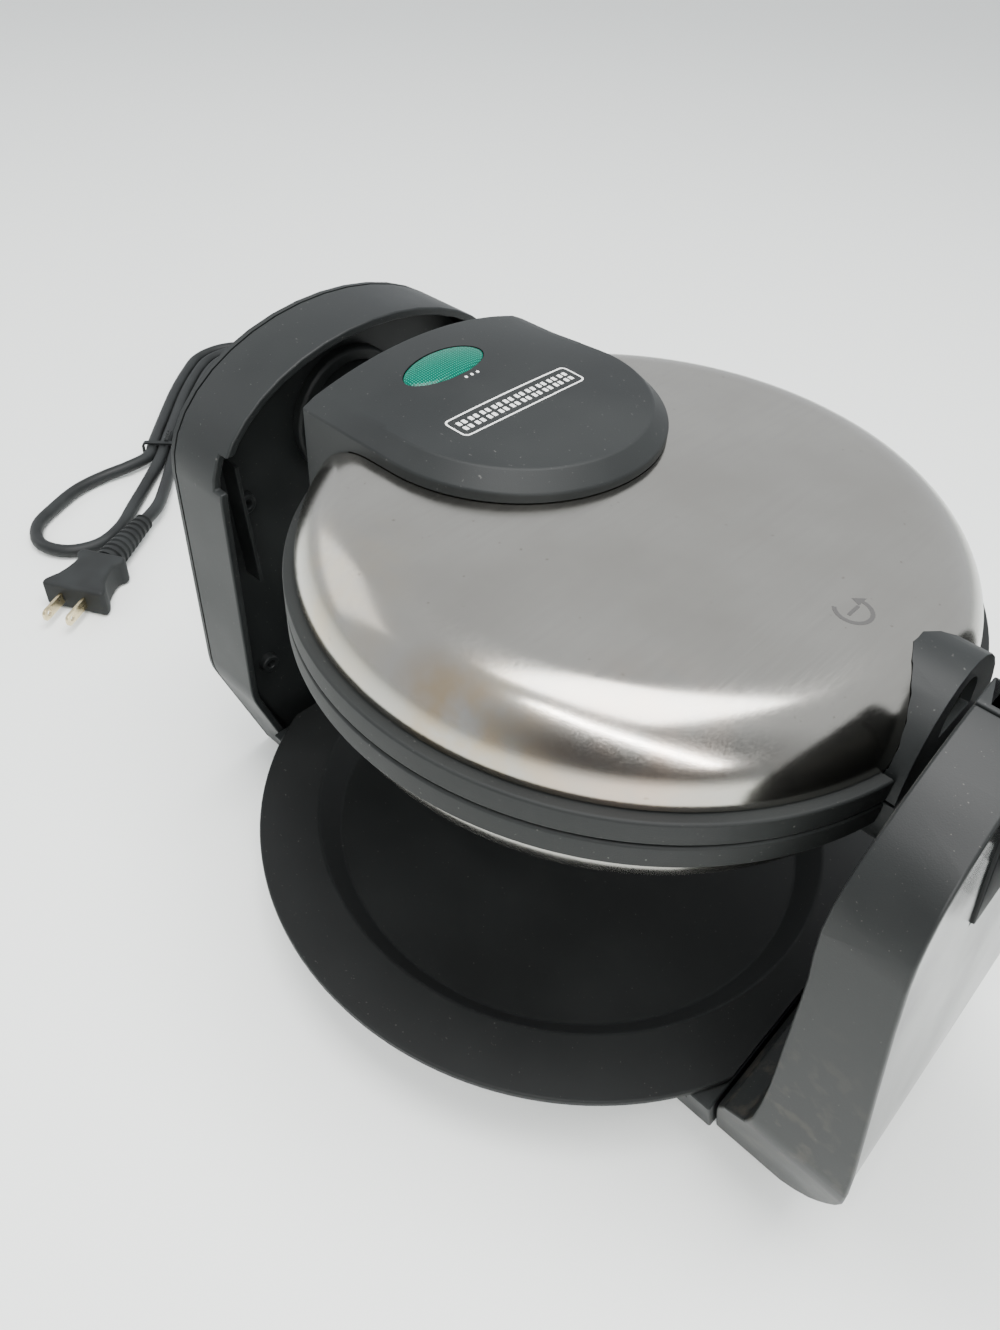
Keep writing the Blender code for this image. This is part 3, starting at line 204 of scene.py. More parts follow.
# ---- camera ---------------------------------------------------------------------------------
CAMERA_PLACE = (0.133, -0.2138, 0.1896)     # from the head's centre
CAMERA_ANGLES = (40.465, 43.145, 4.352)     # azimuth, elevation and roll
SENSOR = 36
IMAGE_WIDTH = 1000
IMAGE_HEIGHT = 1330


def camera():
    azimuth, elevation, roll = [radians(angle) for angle in CAMERA_ANGLES]
    back = Vector((sin(azimuth) * cos(elevation), -cos(azimuth) * cos(elevation), sin(elevation)))
    right = Vector((cos(azimuth), sin(azimuth), 0))
    up = back.cross(right)
    across = right * cos(roll) + up * sin(roll)
    upward = up * cos(roll) - right * sin(roll)
    data = bpy.data.cameras.new("camera")
    data.sensor_width = SENSOR
    data.lens = SENSOR * IMAGE_WIDTH / IMAGE_HEIGHT
    data.clip_start = 0.01
    obj = bpy.data.objects.new("camera", data)
    bpy.context.scene.collection.objects.link(obj)
    turn = Matrix((across, upward, back)).transposed().to_4x4()
    obj.matrix_world = Matrix.Translation(HEAD + Vector(CAMERA_PLACE)) @ turn
    bpy.context.scene.camera = obj


# ---- shapes ---------------------------------------------------------------------------------
def mesh_of(bm):
    mesh = bpy.data.meshes.new("shape")
    bm.to_mesh(mesh)
    bm.free()
    return mesh


def solid(mesh, origin=HEAD):
    """An object from a mesh that is drawn from the origin.  Its own origin is the row frame's."""
    mesh.transform(Matrix.Translation(origin))
    obj = bpy.data.objects.new("shape", mesh)
    bpy.context.scene.collection.objects.link(obj)
    return obj


def apply_modifiers(obj):
    graph = bpy.context.evaluated_depsgraph_get()
    mesh = bpy.data.meshes.new_from_object(obj.evaluated_get(graph))
    obj.modifiers.clear()
    obj.data = mesh
    return obj


def box(low, high):
    bm = bmesh.new()
    size = Vector(high) - Vector(low)
    middle = (Vector(high) + Vector(low)) / 2
    bmesh.ops.create_cube(bm, size=1, matrix=Matrix.Translation(middle) @ Matrix.Diagonal((*size, 1)))
    return mesh_of(bm)


AXIS_TURN = {
    "X": Matrix.Rotation(pi / 2, 4, "Y"),
    "Y": Matrix.Rotation(-pi / 2, 4, "X"),
    "Z": Matrix()}
PLANE_TURN = {
    "XY": Matrix(),
    "YZ": Matrix(((0, 0, 1, 0), (1, 0, 0, 0), (0, 1, 0, 0), (0, 0, 0, 1))),
    "XZ": Matrix(((1, 0, 0, 0), (0, 0, -1, 0), (0, 1, 0, 0), (0, 0, 0, 1)))}


def cylinder(radius, start, length, axis, sides=SMALL):
    bm = bmesh.new()
    move = Matrix.Translation(start) @ AXIS_TURN[axis] @ Matrix.Translation((0, 0, length / 2))
    bmesh.ops.create_cone(bm, cap_ends=True, segments=sides, radius1=radius, radius2=radius,
                          depth=length, matrix=move)
    return mesh_of(bm)


def prism(points, plane, start, end):
    """A flat outline, extruded from start to end along the plane's normal."""
    bm = bmesh.new()
    first, last = (-end, -start) if plane == "XZ" else (start, end)
    face = bm.faces.new([bm.verts.new((a, b, first)) for a, b in points])
    moved = bmesh.ops.extrude_face_region(bm, geom=[face])["geom"]
    verts = [item for item in moved if isinstance(item, bmesh.types.BMVert)]
    bmesh.ops.translate(bm, verts=verts, vec=(0, 0, last - first))
    bmesh.ops.recalc_face_normals(bm, faces=bm.faces)
    bmesh.ops.transform(bm, matrix=PLANE_TURN[plane], verts=bm.verts)
    return mesh_of(bm)


def turned(profile, axis="Z", start=(0, 0, 0), steps=FINE, origin=HEAD, spin=0.0):
    """A closed profile of (radius, distance along the axis), turned about an axis through start."""
    bm = bmesh.new()
    verts = [bm.verts.new((r, 0, z)) for r, z in profile]
    edges = [bm.edges.new(pair) for pair in zip(verts, verts[1:])]
    if profile[0][0] > 0 or profile[-1][0] > 0:
        edges.append(bm.edges.new((verts[-1], verts[0])))
    bmesh.ops.spin(bm, geom=verts + edges, cent=(0, 0, 0), axis=(0, 0, 1), angle=2 * pi, steps=steps)
    bmesh.ops.remove_doubles(bm, verts=bm.verts, dist=1e-6)
    on_axis = [edge for edge in bm.edges if not edge.link_faces]
    bmesh.ops.delete(bm, geom=on_axis, context="EDGES")
    bmesh.ops.recalc_face_normals(bm, faces=bm.faces)
    turn = Matrix.Translation(start) @ Matrix.Rotation(spin, 4, "Z") @ AXIS_TURN[axis]
    bmesh.ops.transform(bm, matrix=turn, verts=bm.verts)
    return solid(mesh_of(bm), origin)


def carve(target, operation, *others):
    """Cut others from the target (DIFFERENCE), join them on (UNION) or keep the overlap (INTERSECT)."""
    for other in others:
        modifier = target.modifiers.new("Boolean", "BOOLEAN")
        modifier.operation = operation
        modifier.object = other
        modifier.solver = "EXACT"
    apply_modifiers(target)
    for other in others:
        bpy.data.objects.remove(other)
    return target


def rounded(obj, width, segments=3, angle=30):
    modifier = obj.modifiers.new("Bevel", "BEVEL")
    modifier.width = width
    modifier.segments = segments
    modifier.limit_method = "ANGLE"
    modifier.angle_limit = radians(angle)
    return apply_modifiers(obj)


def flattened(obj):
    """Weld a mesh and dissolve the triangles inside its flat faces."""
    bm = bmesh.new()
    bm.from_mesh(obj.data)
    bmesh.ops.remove_doubles(bm, verts=bm.verts, dist=5e-6)
    bmesh.ops.dissolve_limit(bm, angle_limit=radians(0.6), verts=bm.verts, edges=bm.edges)
    bm.to_mesh(obj.data)
    bm.free()
    return obj


def arc(centre, radius, first, last, count):
    """Points on an arc, angles in degrees."""
    angles = [radians(first + (last - first) * i / count) for i in range(count + 1)]
    return [(centre[0] + radius * cos(a), centre[1] + radius * sin(a)) for a in angles]


def mirrored(points, side):
    return [(a, side * b) for a, b in points]


def head_box(side, low, high):
    """A box whose heights are given for the upper half, mirrored for the lower one."""
    z0, z1 = sorted((side * low[2], side * high[2]))
    return solid(box((low[0], low[1], z0), (high[0], high[1], z1)))


def rear_pocket(side, front):
    """The room behind a line that the hinge housing takes, grown by the gap."""
    clear = COVER_HALF + GAP
    return head_box(side, (-FAR, -clear, -5 * MM), (front, clear, CUT_H))


def flip_z(mesh, side):
    if side < 0:
        mesh.transform(Matrix.Diagonal((1, 1, -1, 1)))
        mesh.flip_normals()
    return mesh


SPLINE_STEPS = 12


def spline_points(points, step):
    """Points about one step apart on a smooth curve through the given points."""
    points = [Vector(point) for point in points]
    padded = [2 * points[0] - points[1], *points, 2 * points[-1] - points[-2]]
    fine = []
    for a, b, c, d in zip(padded, padded[1:], padded[2:], padded[3:]):
        for i in range(SPLINE_STEPS):
            t = i / SPLINE_STEPS
            fine.append(0.5 * (2 * b + (c - a) * t + (2 * a - 5 * b + 4 * c - d) * t * t
                               + (3 * b - a - 3 * c + d) * t ** 3))
    fine.append(points[-1])
    travelled = [0.0]
    for one, two in zip(fine, fine[1:]):
        travelled.append(travelled[-1] + (two - one).length)
    count = round(travelled[-1] / step)
    picked = []
    index = 0
    for i in range(count + 1):
        target = travelled[-1] * i / count
        while index < len(fine) - 2 and travelled[index + 1] < target:
            index += 1
        share = (target - travelled[index]) / (travelled[index + 1] - travelled[index])
        picked.append(fine[index].lerp(fine[index + 1], share))
    return picked


def tube_curve(name, points, radius, resolution=6):
    curve = bpy.data.curves.new(name, "CURVE")
    curve.dimensions = "3D"
    curve.bevel_depth = radius
    curve.bevel_resolution = resolution
    curve.use_fill_caps = True
    spline = curve.splines.new("POLY")
    spline.points.add(len(points) - 1)
    for point, co in zip(spline.points, points):
        point.co = (*co, 1)
    obj = bpy.data.objects.new(name, curve)
    bpy.context.scene.collection.objects.link(obj)
    return obj


# ---- materials ------------------------------------------------------------------------------
class Look:
    """A Principled material whose nodes read the piece's own coordinates."""

    def __init__(self, name, slot, roughness=0.5, metallic=0.0, **sockets):
        self.material = bpy.data.materials.new(name)
        self.material.use_nodes = True
        self.slot = slot
        self.tree = self.material.node_tree
        self.shader = self.tree.nodes["Principled BSDF"]
        self.shader.inputs["Roughness"].default_value = roughness
        self.shader.inputs["Metallic"].default_value = metallic
        for socket, value in sockets.items():
            self.shader.inputs[socket.replace("_", " ")].default_value = value
        self.coordinates = self.tree.nodes.new("ShaderNodeTexCoord").outputs["Object"]

    def node(self, kind, **inputs):
        made = self.tree.nodes.new("ShaderNode" + kind)
        for socket, value in inputs.items():
            self.feed(made.inputs[socket.replace("_", " ")], value)
        return made

    def feed(self, socket, value):
        if isinstance(value, bpy.types.NodeSocket):
            self.tree.links.new(value, socket)
        else:
            socket.default_value = value

    def noise(self, scale, detail=2.0, stretch=(1, 1, 1)):
        mapping = self.node("Mapping", Vector=self.coordinates, Scale=stretch)
        made = self.node("TexNoise", Vector=mapping.outputs[0], Scale=scale, Detail=detail)
        return made.outputs[0]

    def ranged(self, value, low, high, to_low, to_high):
        made = self.node("MapRange", Value=value, From_Min=low, From_Max=high,
                         To_Min=to_low, To_Max=to_high)
        return made.outputs[0]

    def math(self, operation, first, second):
        made = self.tree.nodes.new("ShaderNodeMath")
        made.operation = operation
        self.feed(made.inputs[0], first)
        self.feed(made.inputs[1], second)
        return made.outputs[0]

    def near(self, point, reach):
        """1 at a point of the row frame, falling to 0 at the distance reach."""
        made = self.tree.nodes.new("ShaderNodeVectorMath")
        made.operation = "DISTANCE"
        self.feed(made.inputs[0], self.coordinates)
        self.feed(made.inputs[1], point)
        return self.ranged(made.outputs["Value"], 0.0, reach, 1.0, 0.0)

    def mixed(self, factor, one, two):
        made = self.tree.nodes.new("ShaderNodeMix")
        made.data_type = "RGBA"
        self.feed(made.inputs[0], factor)
        for socket, color in ((made.inputs[6], one), (made.inputs[7], two)):
            self.feed(socket, color if isinstance(color, bpy.types.NodeSocket) else (*color, 1))
        return made.outputs[2]

    def color(self, value):
        self.feed(self.shader.inputs["Base Color"], value)

    def roughness(self, value):
        self.feed(self.shader.inputs["Roughness"], value)

    def bump(self, height, strength, distance):
        made = self.node("Bump", Height=height, Strength=strength, Distance=distance)
        self.feed(self.shader.inputs["Normal"], made.outputs[0])


def plastic(name, slot, dark, light, rough, grain, dust=0.25, shine=0.24):
    """Moulded plastic with a fine grain, cloudy handling marks and specks of dust."""
    look = Look(name, slot, Specular_IOR_Level=shine)
    clouds = look.noise(22, 4)
    base = look.mixed(look.ranged(clouds, 0.35, 0.7, 0, 1), dark, light)
    specks = look.ranged(look.noise(900, 1), 0.74, 0.8, 0, dust)
    look.color(look.mixed(specks, base, (0.3, 0.29, 0.27)))
    look.roughness(look.ranged(clouds, 0.3, 0.7, rough - 0.06, rough + 0.07))
    look.bump(look.noise(2600, 2), grain, 0.1 * MM)
    return look


def leg_plastic():
    """The right stand's plastic, scuffed and dusty low on its near side."""
    look = Look("leg_plastic", "black_plastic", Specular_IOR_Level=0.24)
    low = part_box("right_stand_shell")[0]
    patch = look.near((low.x, low.y * 0.75, 60 * MM), 75 * MM)
    clouds = look.noise(22, 4)
    base = look.mixed(look.ranged(clouds, 0.35, 0.7, 0, 1), (0.009, 0.01, 0.0098), (0.0145, 0.016, 0.0155))
    worn = look.math("MULTIPLY", patch, look.ranged(look.noise(160, 6), 0.52, 0.64, 0, 0.7))
    dirty = look.mixed(worn, base, (0.05, 0.043, 0.034))
    specks = look.ranged(look.noise(1500, 1), 0.74, 0.82, 0, 0.2)
    look.color(look.mixed(specks, dirty, (0.3, 0.28, 0.25)))
    look.roughness(look.ranged(clouds, 0.3, 0.7, 0.4, 0.52))
    look.bump(look.noise(2600, 2), 0.25, 0.1 * MM)
    return look


def brushed_steel(name, stains_and_reflection):
    """Stainless steel with brush lines along Y, faint clouds, and tinted patches at the given points: heat
    stains, and one painted warm reflection.
    """
    look = Look(name, "brushed_steel", metallic=1.0)
    lines = look.noise(1.0, 3, (2600, 45, 2600))
    clouds = look.noise(16, 5)
    base = look.mixed(look.ranged(clouds, 0.3, 0.7, 0, 1), (0.345, 0.33, 0.3), (0.42, 0.41, 0.375))
    streaks = look.noise(1.0, 4, (420, 30, 420))
    base = look.mixed(look.ranged(streaks, 0.45, 0.8, 0, 0.5), base, (0.36, 0.345, 0.32))
    # Each patch tints the steel's colour: real heat stains, and one painted warm reflection on the front of
    # the dome.
    for point, reach, tint, strength in stains_and_reflection:
        patch = look.near(HEAD + Vector(point) * MM, reach)
        cloud = look.ranged(look.noise(75, 5), 0.36, 0.66, 0, strength)
        base = look.mixed(look.math("MULTIPLY", patch, cloud), base, tint)
    specks = look.ranged(look.noise(520, 1), 0.76, 0.8, 0, 0.35)
    look.color(look.mixed(specks, base, (0.16, 0.13, 0.1)))
    brushed = look.ranged(lines, 0.2, 0.8, 0.11, 0.22)
    look.roughness(look.math("ADD", brushed, look.ranged(clouds, 0.3, 0.7, 0, 0.05)))
    look.bump(lines, 0.16, 0.05 * MM)
    return look


def plated(name, slot, dark, light, rough):
    look = Look(name, slot, metallic=1.0)
    clouds = look.noise(120, 5)
    look.color(look.mixed(look.ranged(clouds, 0.35, 0.65, 0, 1), dark, light))
    look.roughness(look.ranged(clouds, 0.3, 0.7, rough - 0.05, rough + 0.1))
    look.bump(look.noise(1800, 2), 0.12, 0.05 * MM)
    return look


def coated():
    """Dark non-stick coating on cast aluminium."""
    look = Look("coated_aluminium", "coated_aluminium", metallic=0.25)
    clouds = look.noise(30, 5)
    base = look.mixed(look.ranged(clouds, 0.35, 0.7, 0, 1), (0.03, 0.03, 0.031), (0.055, 0.053, 0.051))
    flakes = look.ranged(look.noise(1500, 1), 0.66, 0.75, 0, 0.35)
    look.color(look.mixed(flakes, base, (0.2, 0.19, 0.18)))
    look.roughness(look.ranged(clouds, 0.3, 0.7, 0.3, 0.44))
    look.bump(look.noise(1100, 3), 0.2, 0.1 * MM)
    return look


def green_lens():
    """Tinted clear plastic over a grid of small prisms."""
    look = Look("green_lens", "green_lens", roughness=0.12, Transmission_Weight=0.05, IOR=1.49,
                Specular_IOR_Level=0.15)
    cells = []
    for direction in ("X", "Y"):
        wave = look.tree.nodes.new("ShaderNodeTexWave")
        wave.bands_direction = direction
        look.feed(wave.inputs["Vector"], look.coordinates)
        look.feed(wave.inputs["Scale"], 380.0)
        cells.append(wave.outputs["Fac"])
    grid = look.math("MULTIPLY", *cells)
    look.color(look.mixed(look.ranged(grid, 0.05, 0.7, 0, 1), (0.0, 0.06, 0.04), (0.0, 0.2, 0.135)))
    look.bump(grid, 0.35, 0.12 * MM)
    return look


def lamp_glass():
    look = Look("lamp_glass", "lamp_glass", roughness=0.1, Transmission_Weight=0.6, IOR=1.5)
    clouds = look.noise(200, 2)
    look.color(look.mixed(clouds, (0.85, 0.8, 0.65), (0.95, 0.92, 0.82)))
    return look


def ink(name, slot, color):
    """Printed ink, slightly worn."""
    look = Look(name, slot, roughness=0.5)
    wear = look.ranged(look.noise(600, 3), 0.6, 0.75, 0, 0.35)
    look.color(look.mixed(wear, color, [0.75 * part for part in color]))
    return look


def rubber(name, rough=0.7):
    look = Look(name, "rubber", Specular_IOR_Level=0.3)
    clouds = look.noise(60, 4)
    look.color(look.mixed(look.ranged(clouds, 0.35, 0.65, 0, 1), (0.009, 0.01, 0.01), (0.017, 0.019, 0.019)))
    look.roughness(look.ranged(clouds, 0.3, 0.7, rough - 0.08, rough + 0.08))
    look.bump(look.noise(1500, 2), 0.2, 0.1 * MM)
    return look


DARK = (0.0095, 0.0108, 0.0108)
GREY = (0.016, 0.0178, 0.0175)
# Where each patch is, in millimetres from the head's centre, its reach, its tint and its strength: three
# heat stains, then a painted warm reflection.
UPPER_STAINS_AND_REFLECTION = (
    ((15, -98, 22), 0.016, (0.3, 0.22, 0.13), 0.9),
    ((28, -97, 13), 0.026, (0.42, 0.3, 0.15), 0.9),
    ((-34, -92, 15), 0.034, (0.46, 0.38, 0.26), 0.7),
    # Painted reflection of something warm on the dome's front, not a stain.
    ((62, -78, 14), 0.036, (0.52, 0.38, 0.29), 0.6))
LOOKS = {
    "black": plastic("black_plastic", "black_plastic", DARK, GREY, 0.5, 0.25, 0.16),
    "rim": plastic("rim_plastic", "black_plastic", (0.008, 0.009, 0.0088), (0.0145, 0.016, 0.0152),
                   0.6, 0.5, 0.2),
    "tray": plastic("tray_plastic", "black_plastic", (0.0055, 0.0062, 0.006), (0.0085, 0.0095, 0.0092),
                    0.55, 0.3, 0.1, 0.22),
    "gloss": plastic("gloss_plastic", "gloss_plastic", (0.008, 0.009, 0.009), (0.012, 0.013, 0.013),
                     0.2, 0.05, 0.2, 0.45),
    "leg": leg_plastic(),
    "steel": brushed_steel("brushed_steel", UPPER_STAINS_AND_REFLECTION),
    "plain_steel": brushed_steel("brushed_steel_plain", ()),
    "coated": coated(),
    "zinc": plated("zinc_steel", "zinc_steel", (0.46, 0.46, 0.45), (0.6, 0.6, 0.58), 0.38),
    "brass": plated("brass", "brass", (0.66, 0.55, 0.33), (0.78, 0.68, 0.44), 0.25),
    "rubber": rubber("rubber"),
    "cord": rubber("cord_rubber", 0.55),
    "lens": green_lens(),
    "lamp": lamp_glass(),
    "white_ink": ink("white_ink", "black_plastic", (0.72, 0.72, 0.7)),
    "dark_ink": ink("dark_ink", "black_plastic", (0.05, 0.048, 0.046))}


# ---- pieces ---------------------------------------------------------------------------------
def shaded(obj, angle=35):
    obj.data.shade_smooth()
    obj.data.set_sharp_from_angle(angle=radians(angle))
    modifier = obj.modifiers.new("Weighted", "WEIGHTED_NORMAL")
    modifier.keep_sharp = True
    return apply_modifiers(obj)


def attach(obj, name, body, look):
    """Name a piece, shade it, give it its material, and let it ride on a body."""
    obj.name = name
    if obj.type == "MESH":
        shaded(obj)
    obj.data.materials.clear()
    obj.data.materials.append(LOOKS[look].material)
    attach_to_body(obj, body)
    return obj


def stand_in(obj, nodes, look):
    """Let a piece stand for CAD nodes of one body."""
    nodes = [nodes] if isinstance(nodes, str) else nodes
    attach(obj, nodes[0] + "_fine", frame["nodes"][nodes[0]]["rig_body"], look)
    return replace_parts(obj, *nodes)


def refined(node, look, width, segments=3):
    """A CAD node's own shape with its edges rounded."""
    obj = solid(frame["nodes"][node].data.copy(), Vector())
    if "custom_normal" in obj.data.attributes:
        obj.data.attributes.remove(obj.data.attributes["custom_normal"])
    flattened(obj)
    rounded(obj, width, segments)
    return stand_in(obj, node, look)


# ---- cord -----------------------------------------------------------------------------------
def strain_relief():
    """A tapered sleeve with flexing grooves."""
    start = EXIT_HIGH.x
    end = EXIT_LOW.x
    wide = 6.3 * MM
    slim = CORD_R + 0.8 * MM
    rings = 8
    profile = [(0, start), (wide, start), (wide, start - 3 * MM)]
    for i in range(rings):
        share = i / (rings - 1)
        x = start - 4 * MM + (end - start + 5.5 * MM) * share
        r = wide * (1 - share) + slim * share
        profile += [(r, x), (r - 0.7 * MM, x - 0.5 * MM), (r - 0.7 * MM, x - 1.1 * MM), (r, x - 1.5 * MM)]
    profile += [(slim, end), (0, end)]
    sleeve = turned(profile, "X", (0, 0, EXIT_H), SMALL, FLOOR_POINT)
    return stand_in(sleeve, "cord_strain_relief", "rubber")


def plug_pieces():
    """Plug body with a waist, two blades with eyes, and a grooved relief."""
    turn = Matrix.Translation((*PLUG_FACE, PLUG_AXIS_H)) @ Matrix.Rotation(PLUG_ANGLE, 4, "Z")
    half = [(0, 17), (-4, 17), (-7, 15.2), (-10, 13.2), (-15, 11.6), (-20, 10.7), (-24, 10.6),
            (-25.5, 11.8), (-27, 13.3), (-29, 13.4), (-32, 12.5)]
    outline = [(a * MM, b * MM) for a, b in half]
    outline += [(a, -b) for a, b in reversed(outline)]
    mesh = prism(outline, "XY", -PLUG_HALF_T, PLUG_HALF_T)
    mesh.transform(turn)
    body = rounded(solid(mesh, FLOOR_POINT), 2.6 * MM, 4)
    pieces = [stand_in(body, "plug_body", "rubber")]
    for number, side in enumerate((-1, 1), 1):
        y = side * BLADE_PITCH / 2
        outline = [(GAP, -BLADE_HALF_W)] + arc((14.6 * MM, -0.8 * MM), 2.4 * MM, -90, 0, 6)
        outline += arc((14.6 * MM, 0.8 * MM), 2.4 * MM, 0, 90, 6) + [(GAP, BLADE_HALF_W)]
        blade = solid(prism(outline, "XZ", y - BLADE_HALF_T, y + BLADE_HALF_T))
        rounded(blade, 0.2 * MM, 2)
        carve(blade, "DIFFERENCE", solid(cylinder(1.6 * MM, (13 * MM, y - 2 * MM, 0), 4 * MM, "Y", 24)))
        blade.data.transform(Matrix.Translation(FLOOR_POINT) @ turn @ Matrix.Translation(-HEAD))
        pieces.append(stand_in(blade, f"plug_blade_{number}", "brass"))
    start = -PLUG_LENGTH - GAP
    end = start - PLUG_RELIEF + 2 * GAP
    wide, slim = PLUG_RELIEF_R
    profile = [(0, start), (wide, start)]
    rings = 9
    for i in range(rings):
        share = i / (rings - 1)
        x = start - 2 * MM + (end - start + 4.4 * MM) * share
        r = wide * (1 - share) + slim * share
        profile += [(r, x), (r - 1.1 * MM, x - 0.5 * MM), (r - 1.1 * MM, x - 1.7 * MM), (r, x - 2.2 * MM)]
    profile += [(slim, end), (0, end)]
    relief = turned(profile, "X", (*PLUG_FACE, PLUG_AXIS_H), SMALL, FLOOR_POINT, PLUG_ANGLE)
    pieces.append(stand_in(relief, "plug_strain_relief", "rubber"))
    return pieces


def twist_tie():
    """A band round the three strands, with its two ends twisted together."""
    low, high = extent("twist_tie", FLOOR_POINT)
    turn = Matrix.Translation((*TIE_AT, 0)) @ Matrix.Rotation(TIE_ANGLE, 4, "Z")
    outer = 12.6 * MM
    inner = 11.6 * MM
    middle = (low.z + high.z) / 2
    tall = (high.z - low.z) / 2
    mesh = prism(rounded_rectangle(outer, tall, 3 * MM), "XZ", -1.5 * MM, 1.5 * MM)
    mesh.transform(Matrix.Translation((0, 0, middle)))
    room = prism(rounded_rectangle(inner, tall - 1 * MM, 2.4 * MM), "XZ", -3 * MM, 3 * MM)
    room.transform(Matrix.Translation((0, 0, middle)))
    band = carve(solid(mesh), "DIFFERENCE", solid(room))
    for phase in (0, pi):
        twist = [(2 * MM + 0.9 * MM * cos(phase + t * 0.9), 1.5 * MM + t * 0.8 * MM,
                  middle + tall + 0.4 * MM + 0.9 * MM * sin(phase + t * 0.9)) for t in range(15)]
        wire = tube_curve("wire", [HEAD + Vector(point) for point in twist], 0.55 * MM, 2)
        graph = bpy.context.evaluated_depsgraph_get()
        strand = bpy.data.objects.new("wire", bpy.data.meshes.new_from_object(wire.evaluated_get(graph)))
        bpy.context.scene.collection.objects.link(strand)
        bpy.data.objects.remove(wire)
        flattened(strand)
        carve(band, "UNION", strand)
    band.data.transform(Matrix.Translation(FLOOR_POINT) @ turn @ Matrix.Translation(-HEAD))
    return stand_in(band, "twist_tie", "black")


def rounded_rectangle(half_a, half_b, radius, steps=6):
    points = []
    for number, (side_a, side_b) in enumerate(((1, -1), (1, 1), (-1, 1), (-1, -1))):
        centre = (side_a * (half_a - radius), side_b * (half_b - radius))
        points += arc(centre, radius, -90 + 90 * number, 90 * number, steps)
    return points


def cord():
    route = spline_points([EXIT_FLOOR + Vector(point) * MM for point in CORD_ROUTE], CORD_STEP)
    lead = attach(tube_curve("cord_lead_fine", route, CORD_R), "cord_lead_fine", "base", "cord")
    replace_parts(lead, "cord_lead")
    pieces = [strain_relief(), *plug_pieces(), twist_tie()]


# ---- head -----------------------------------------------------------------------------------
def dome_profile(grow=0.0):
    """The dome's surface as (radius, height) from its edge to its middle, moved out by grow."""
    centre = (DOME_R - DOME_ROUND, DOME_H - DOME_ROUND)
    shoulder = arc(centre, DOME_ROUND + grow, 0, 90, 30)
    shares = [1 - i / 12 for i in range(1, 13)]
    crown = [(centre[0] * share, DOME_H + grow + DOME_CROWN * (1 - share ** 2)) for share in shares]
    return shoulder + crown


def envelope(side, with_trim):
    """The space of the dome, and of the rim below it, grown by the gap."""
    top = TRIM_TOP + GAP
    edge = [(DOME_R + GAP, top)]
    floor = (0, top)
    if with_trim:
        edge = [(TRIM_R + GAP, -1 * MM), (TRIM_R + GAP, top), (DOME_R + GAP, top)]
        floor = (0, -1 * MM)
    return turned(mirrored([floor, *edge, *dome_profile(GAP)], side))


def half_shells(half, side):
    """Rim and steel dome of one half."""
    rim = [(TRIM_INNER_R, PARTING), (TRIM_R, PARTING), (TRIM_R, TRIM_TOP), (TRIM_INNER_R, TRIM_TOP)]
    trim = rounded(turned(mirrored(rim, side)), 0.9 * MM)
    seat = TAB_HALF + GAP
    carve(trim, "DIFFERENCE", rear_pocket(side, TRIM_REAR),
          head_box(side, (TAB_SEAT, -seat, -5 * MM), (FAR, seat, CUT_H)))
    stand_in(trim, f"{half}_trim", "rim")
    foot = TRIM_TOP + GAP
    dome = turned(mirrored([(0, foot), (DOME_R - 0.2 * MM, foot)] + dome_profile(), side))
    low = foot - 1 * MM
    room = turned(mirrored([(0, low), (DOME_R - DOME_T, low)] + dome_profile(-DOME_T), side))
    carve(dome, "DIFFERENCE", room, rear_pocket(side, POCKET_X + GAP))
    stand_in(dome, f"{half}_dome", "steel" if side > 0 else "plain_steel")


def cover_top(x, y):
    """Height of the hinge housing's top, which is flat in front and arched at the rear."""
    share = min(max((COVER_FLAT_X - x) / (COVER_FLAT_X - COVER_ARCH_X), 0), 1)
    share = share * share * (3 - 2 * share)
    arched = COVER_ARCH_H - COVER_ARCH_DROP * (y / COVER_HALF) ** 2
    return COVER_H + (arched - COVER_H) * share


def cover_outline(inset, rear_inset=0.0):
    """The housing from above, with the same number of points for each inset."""
    half = COVER_HALF - inset
    rear = COVER_REAR + rear_inset
    sides = [rear + (COVER_CENTRE - rear) * i / 14 for i in range(14)]
    front = arc((COVER_CENTRE, 0), half, -90, 90, 72)
    back = [(rear, half - 2 * half * i / 24) for i in range(1, 24)]
    return [(x, -half) for x in sides] + front + [(x, half) for x in reversed(sides)] + back


def loft(rings, tip=None):
    """Rings of points from the bottom up, closed by a face below, and by a fan to the tip above."""
    bm = bmesh.new()
    rows = [[bm.verts.new(point) for point in ring] for ring in rings]
    for low, high in zip(rows, rows[1:]):
        for i in range(len(low)):
            j = (i + 1) % len(low)
            bm.faces.new((low[i], low[j], high[j], high[i]))
    bm.faces.new(rows[0][::-1])
    if tip is None:
        bm.faces.new(rows[-1])
    else:
        point = bm.verts.new(tip)
        for one, two in zip(rows[-1], rows[-1][1:] + rows[-1][:1]):
            bm.faces.new((one, two, point))
    bmesh.ops.recalc_face_normals(bm, faces=bm.faces)
    return mesh_of(bm)


def cover_shell():
    """The housing's outside: sides, a chamfer that rises to the crowned top, and the top itself."""
    outline = cover_outline(0)
    rings = [[(x, y, COVER_FOOT) for x, y in outline], [(x, y, COVER_EDGE_H) for x, y in outline]]
    inner = cover_outline(COVER_CHAMFER)
    rings.append([(x, y, cover_top(x, y)) for x, y in inner])
    middle = COVER_FOCUS[0]
    for i in range(1, 16):
        share = 1 - i / 16
        loop = [(middle + (x - middle) * share, y * share) for x, y in inner]
        rings.append([(x, y, cover_top(x, y)) for x, y in loop])
    return loft(rings, (*COVER_FOCUS, cover_top(*COVER_FOCUS)))


def lens_outline(share=1.0, grow=0.0):
    wide = LENS_WIDE * share + grow
    long = LENS_LONG * share + grow
    angles = [2 * pi * i / MEDIUM for i in range(MEDIUM)]
    return [(LENS_X + wide * cos(a), LENS_Y + long * sin(a)) for a in angles]


